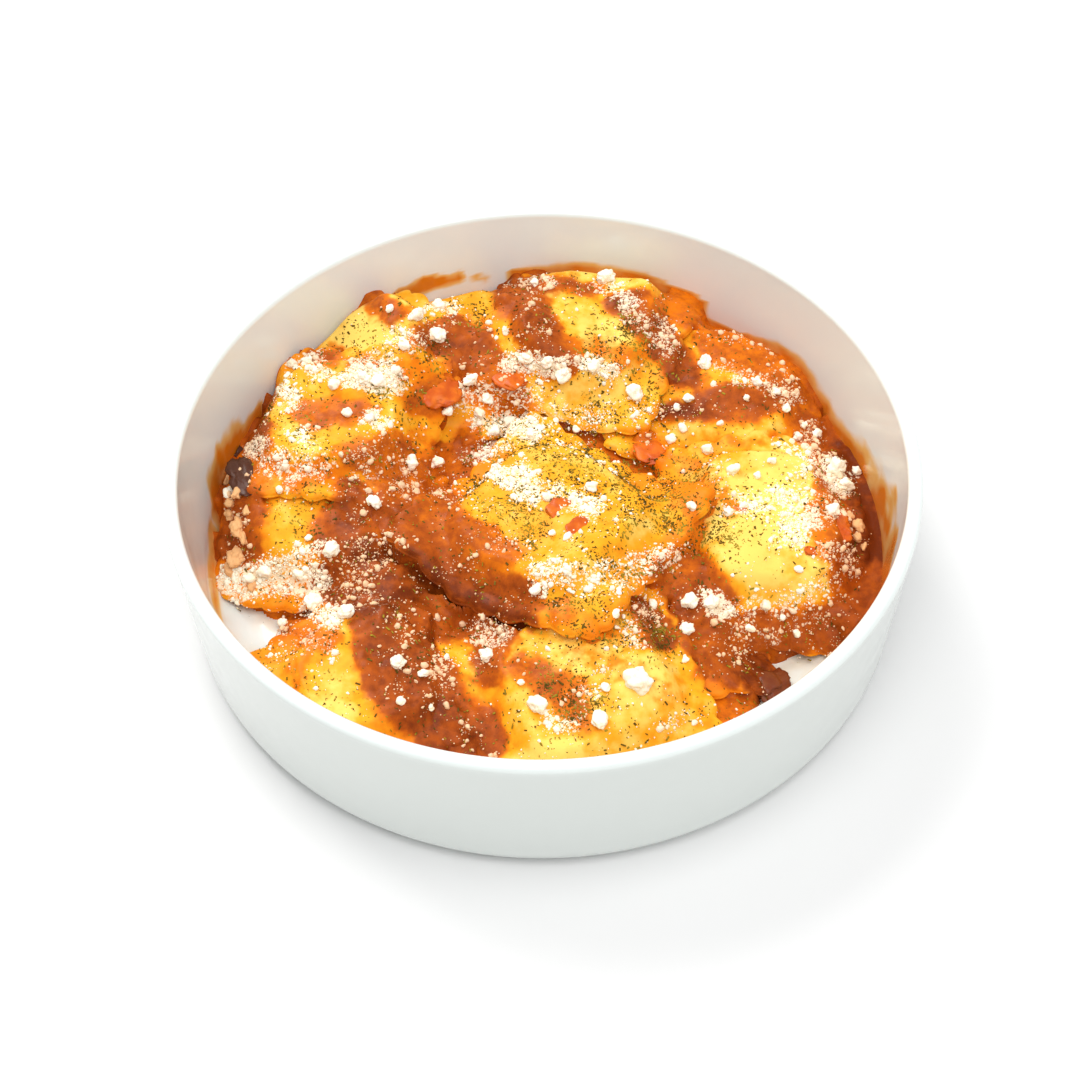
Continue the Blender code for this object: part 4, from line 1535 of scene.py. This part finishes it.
@dataclass(frozen=True)
class Strewing:
    """Geometry Nodes that strew one kind of grain over a skin, thicker where the skin's attribute says."""

    name: str
    attribute: str
    density: float
    least: float
    most: float
    subdivisions: int
    seed: int
    flat: Point = (0.55, 1.0)
    bumpy: float = 0.2
    sliver: bool = False

    def tree(self) -> bpy.types.NodeTree:
        """Build the tree.

        Returns:
            A tree that turns the skin into grains with their own material.
        """
        graph = Graph(bpy.data.node_groups.new(self.name + "_nodes", "GeometryNodeTree"))
        graph.socket("Skin", "Geometry")
        for name, value in self.values().items():
            graph.socket(name, "Float", value=value)
        graph.socket("Material", "Material")
        graph.socket("Grains", "Geometry", "OUTPUT")
        given = graph.add("NodeGroupInput").outputs
        share = graph.add("GeometryNodeInputNamedAttribute", {"Name": self.attribute}, data_type="FLOAT").outputs[0]
        density = graph.math("MULTIPLY", share, given["Density"])
        spread = graph.add(
            "GeometryNodeDistributePointsOnFaces", {"Mesh": given["Skin"], "Density": density, "Seed": self.seed}
        )
        size = self.random(graph, given["Least Size"], given["Most Size"])
        stretch = graph.add(
            "FunctionNodeRandomValue",
            {0: (self.flat[0],) * 3, 1: (self.flat[1],) * 3, "Seed": self.seed + 2},
            data_type="FLOAT_VECTOR",
        ).outputs[0]
        scale = graph.add("ShaderNodeVectorMath", {0: stretch, "Scale": size}, operation="SCALE").outputs[0]
        turn = graph.add(
            "FunctionNodeRandomValue",
            {0: (0.0, 0.0, 0.0), 1: (math.tau,) * 3, "Seed": self.seed + 3},
            data_type="FLOAT_VECTOR",
        ).outputs[0]
        if self.sliver:
            tilt = graph.add("ShaderNodeVectorMath", {0: turn, 1: (0.09, 0.09, 1.0)}, operation="MULTIPLY").outputs[0]
            turn = graph.add(
                "FunctionNodeRotateRotation", {0: spread.outputs["Rotation"], 1: tilt}, rotation_space="LOCAL"
            ).outputs[0]
            grain = graph.add("GeometryNodeMeshCube", {0: (1.0, 0.38, 0.16)}).outputs[0]
        elif self.subdivisions:
            grain = graph.add("GeometryNodeMeshIcoSphere", {0: 0.5, 1: self.subdivisions}).outputs[0]
        else:
            grain = graph.add("GeometryNodeMeshUVSphere", {0: 4, 1: 2, 2: 0.5}).outputs[0]
        placed = graph.add(
            "GeometryNodeInstanceOnPoints",
            {"Points": spread.outputs[0], "Instance": grain, "Rotation": turn, "Scale": scale},
        ).outputs[0]
        real = graph.add("GeometryNodeRealizeInstances", {0: placed}).outputs[0]
        wobble = graph.add("ShaderNodeTexNoise", {"Scale": 1100.0, "Detail": 1.0}).outputs["Color"]
        centred = graph.add("ShaderNodeVectorMath", {0: wobble, 1: (0.5, 0.5, 0.5)}, operation="SUBTRACT").outputs[0]
        push = graph.add("ShaderNodeVectorMath", {0: centred, "Scale": given["Bumps"]}, operation="SCALE").outputs[0]
        moved = graph.add("GeometryNodeSetPosition", {"Geometry": real, "Offset": push}).outputs[0]
        flat_shaded = graph.add("GeometryNodeSetShadeSmooth", {0: moved, "Shade Smooth": not self.sliver}).outputs[0]
        dressed = graph.add("GeometryNodeSetMaterial", {0: flat_shaded, "Material": given["Material"]}).outputs[0]
        graph.add("NodeGroupOutput", {0: dressed})
        return graph.tree

    def random(self, graph: Graph, low: Any, high: Any) -> bpy.types.NodeSocket:
        """A random number for each grain, small ones more often."""
        chance = graph.add("FunctionNodeRandomValue", {"Seed": self.seed + 1}, data_type="FLOAT").outputs[1]
        return graph.add(
            "ShaderNodeMapRange", {"Value": graph.math("POWER", chance, 1.8), "To Min": low, "To Max": high}
        ).outputs[0]

    def values(self) -> dict[str, float]:
        """The tree's named inputs, in metres and grains a square metre."""
        return {
            "Density": self.density,
            "Least Size": self.least * MM,
            "Most Size": self.most * MM,
            "Bumps": self.bumpy * MM,
        }

    def build(self, skin: bpy.types.Mesh, material: bpy.types.Material, slot: Slot) -> bpy.types.Object:
        """Strew the grains.

        Args:
            skin: The surface that they lie on, with their density in an attribute.
            material: Their finish.
            slot: Not used.

        Returns:
            All the grains as one piece.
        """
        carrier = bpy.data.objects.new(self.name, skin.copy())
        bpy.context.scene.collection.objects.link(carrier)
        tree = self.tree()
        modifier = carrier.modifiers.new("strew", "NODES")
        modifier.node_group = tree
        names = {item.name: item.identifier for item in tree.interface.items_tree if item.in_out == "INPUT"}
        for name, value in self.values().items():
            modifier[names[name]] = value
        modifier[names["Material"]] = material
        bpy.context.view_layer.update()
        evaluated = carrier.evaluated_get(bpy.context.evaluated_depsgraph_get())
        mesh = bpy.data.meshes.new_from_object(evaluated)
        carrier.modifiers.clear()
        carrier.data = mesh
        if not mesh.materials:
            mesh.materials.append(material)
        return enlist(carrier)


STREWINGS = (
    Strewing("parmesan_powder", "powder", 9.5e6, 0.3, 0.8, 0, Seed.POWDER, flat=(0.5, 1.0), bumpy=0.15),
    Strewing("parmesan_grains", "grains", 3.0e6, 0.55, 1.4, 1, Seed.GRAINS, flat=(0.4, 1.0), bumpy=0.7),
    Strewing("parmesan_pellets", "pellets", 0.46e6, 1.2, 2.5, 2, Seed.PELLETS, flat=(0.5, 1.0), bumpy=1.0),
)
HERB_STREWING = Strewing(
    "herb_flakes", "herbs", 3.9e6, 0.3, 1.2, 1, Seed.FLAKE_PLACES, flat=(0.6, 1.2), bumpy=0.12, sliver=True
)


@dataclass(frozen=True)
class Toppings:
    """Grated parmesan and dried herbs on the finished heap."""

    skin_cell: float = 0.8
    skin_reach: float = 85.5
    crumb_sunk: float = 0.18
    wet_sunk: float = 0.12

    def skin(self, heap: HeightMap) -> bpy.types.Mesh:
        """The heap's surface as one sheet that says how thickly each topping lies.

        Args:
            heap: The heap, sauce and all.

        Returns:
            The sheet, in metres.
        """
        ticks = np.arange(-self.skin_reach, self.skin_reach, self.skin_cell)
        x, y = np.meshgrid(ticks, ticks)
        z = heap.read(blur(heap.z, 1), x, y)
        level = 1 / np.sqrt(1 + sum(slope**2 for slope in np.gradient(z, self.skin_cell))).ravel()
        faces = sheet_faces(len(ticks), len(ticks))
        inside = (np.hypot(x, y) < self.skin_reach).ravel()
        faces = faces[inside[faces].all(axis=1)]
        points = np.stack([x, y, z], axis=-1).reshape(-1, 3)
        mesh = bpy.data.meshes.new("skin")
        mesh.from_pydata((points * MM).tolist(), [], faces.tolist())
        places = seen(*points.T)
        cheese = CHEESE.spread(*places, soft=CHEESE_EDGE)[0]
        herbs = HERBS.spread(*places, soft=HERB_EDGE)[0]
        wet = np.clip(POURS.spread(*places, soft=COAT_EDGE)[0], 0, 1)
        clumps = np.clip(0.55 + 0.9 * rough(places, 3.0, Seed.CLUMPS), 0, 2)
        patches = np.clip(0.35 + 0.8 * noise(places, 9.0, Seed.PATCHES), 0, 1)
        inner = level * smooth((FOOD_RADIUS - np.hypot(points[:, 0], points[:, 1])) / 4)
        everywhere = 0.015 + 0.17 * patches**1.6 * (0.7 + 0.5 * wet)
        set_attribute(mesh, "powder", inner * clumps * (cheese**2 + 0.5 * everywhere))
        set_attribute(mesh, "grains", inner * clumps * (cheese**1.8 + 0.6 * everywhere))
        set_attribute(mesh, "pellets", inner * clumps * (cheese**1.3 + 0.5 * everywhere))
        set_attribute(mesh, "soaked", 0.8 * wet * (1 - 0.7 * smooth((cheese - 0.45) / 0.4)))
        flakes = np.clip(0.6 + 0.7 * rough(places, 4, Seed.FLAKES), 0, 1.3)
        set_attribute(mesh, "herbs", inner * flakes * (0.8 * herbs + 0.11))
        return mesh

    def crumbs(self, heap: HeightMap, material: bpy.types.Material) -> bpy.types.Object:
        """Lay the large crumbs one by one.

        Args:
            heap: The surface that they lie on.
            material: The cheese.

        Returns:
            All the crumbs as one piece.
        """
        pile = LumpPile()
        soaked: list[Array] = []
        for k, (px, py, size) in enumerate(CRUMBS + SOAKED_CRUMBS):
            x, y, z = heap.find(px, py)
            wet = k >= len(CRUMBS)
            sizes = size * np.array([1.3 if wet else 1.05, 0.9 + 0.1 * math.sin(3 * k), 0.78])
            points, faces = lump(sizes, CRUMB_CORNERS + 0.14 * wet, Seed.CRUMBS + 7 * k, 4 if size > 3.2 else 3)
            turn = Euler((0.3 * math.sin(k), 0.3 * math.cos(2 * k), 1.6 if wet else 2.4 * k))
            pile.put(points, faces, turn, (x, y, z + size * (0.39 - self.crumb_sunk - self.wet_sunk * wet)))
            soaked.append(np.full(len(points), 1.1 * wet))
        piece = pile.piece("parmesan_crumbs", material, Slot.CHEESE)
        set_attribute(piece.data, "soaked", np.concatenate(soaked))
        return piece


# The studio -----------------------------------------------------------------------------------------


@dataclass(frozen=True)
class SoftBox:
    """A square area light that looks at a point."""

    name: str
    place: tuple[float, float, float]
    size: float
    power: float
    colour: Colour = (1.0, 1.0, 1.0)
    aim: tuple[float, float, float] = (0.0, 0.0, 0.02)

    def build(self) -> bpy.types.Object:
        """Hang the light."""
        light = bpy.data.lights.new(self.name, "AREA")
        light.shape = "SQUARE"
        light.size = self.size
        light.energy = self.power
        light.color = self.colour
        lamp = bpy.data.objects.new(self.name, light)
        lamp.location = self.place
        lamp.rotation_euler = (Vector(self.aim) - Vector(self.place)).to_track_quat("-Z", "Y").to_euler()
        bpy.context.scene.collection.objects.link(lamp)
        return lamp


LIGHTS = (
    SoftBox("window", (-0.55, 0.75, 1.05), 0.8, 14.0, (1.0, 0.985, 0.96)),
    SoftBox("ceiling", (0.2, -0.5, 1.4), 1.4, 19.0),
)


@dataclass(frozen=True)
class Studio:
    """The floor, the lights and the camera."""

    sky: float = 0.5
    floor_side: float = 8.0
    lens: float = 86.67
    sensor: float = 36.0
    down: float = 49.39
    roll: float = -0.97

    def build(self, groups: Groups) -> None:
        """Set up the studio."""
        scene = bpy.context.scene
        scene.view_settings.view_transform = "Standard"
        world = bpy.data.worlds.new("studio")
        world.use_nodes = True
        background = world.node_tree.nodes["Background"]
        background.inputs["Color"].default_value = (1.0, 1.0, 1.0, 1.0)
        background.inputs["Strength"].default_value = self.sky
        scene.world = world
        self.add_floor(StudioFloor().material(groups))
        for box in LIGHTS:
            box.build()
        self.add_camera(scene)

    def add_floor(self, material: bpy.types.Material) -> None:
        """Lay the floor under the bowl's foot."""
        half = self.floor_side / 2
        corners = [(-half, -half, 0), (half, -half, 0), (half, half, 0), (-half, half, 0)]
        mesh = bpy.data.meshes.new("floor")
        mesh.from_pydata(corners, [], [(0, 1, 2, 3)])
        mesh.materials.append(material)
        floor = bpy.data.objects.new("floor", mesh)
        bpy.context.scene.collection.objects.link(floor)

    def add_camera(self, scene: bpy.types.Scene) -> None:
        """Look down at the bowl from the serving side."""
        data = bpy.data.cameras.new("camera")
        data.lens = self.lens
        data.sensor_width = self.sensor
        data.clip_start = 0.01
        camera = bpy.data.objects.new("camera", data)
        camera.location = [value * MM for value in EYE]
        tilt = Matrix.Rotation(math.radians(90 - self.down), 3, "X")
        turn = Matrix.Rotation(math.radians(self.roll), 3, "Z")
        camera.rotation_euler = (tilt @ turn).to_euler()
        scene.collection.objects.link(camera)
        scene.camera = camera


# Everything together --------------------------------------------------------------------------------


def report(piece: bpy.types.Object) -> None:
    """Log a piece's name and how many triangles it makes."""
    log.info("%s: %d triangles", piece.name, sum(len(face.vertices) - 2 for face in piece.data.polygons))


def main() -> None:
    """Build the bowl, the ravioli, the sauce, the toppings and the studio."""
    logging.basicConfig(level=logging.INFO, format="%(name)s: %(message)s")
    groups = Groups()
    bowl = Bowl()
    dish = bowl.build(Porcelain().material(groups))
    report(dish)
    sauce = Sauce(bowl)
    heap = HeightMap()
    bed = sauce.bed(heap)
    heap.z = bed.copy()
    pasta = Pasta().material(groups)
    for raviolo in RAVIOLI:
        report(raviolo.build(heap, pasta))
    report(sauce.build(heap, bed, TomatoSauce().material(groups)))
    bowl.stain(dish, heap)
    report(SauceBits().build(heap, Tomato().material(groups)))
    toppings = Toppings()
    cheese, herbs = Parmesan().material(groups), DriedHerbs().material(groups)
    skin = toppings.skin(heap)
    for strewing in STREWINGS:
        report(strewing.build(skin, cheese, Slot.CHEESE))
    report(HERB_STREWING.build(skin, herbs, Slot.HERBS))
    bpy.data.meshes.remove(skin)
    report(toppings.crumbs(heap, cheese))
    Studio().build(groups)


if __name__ == "__main__":
    main()
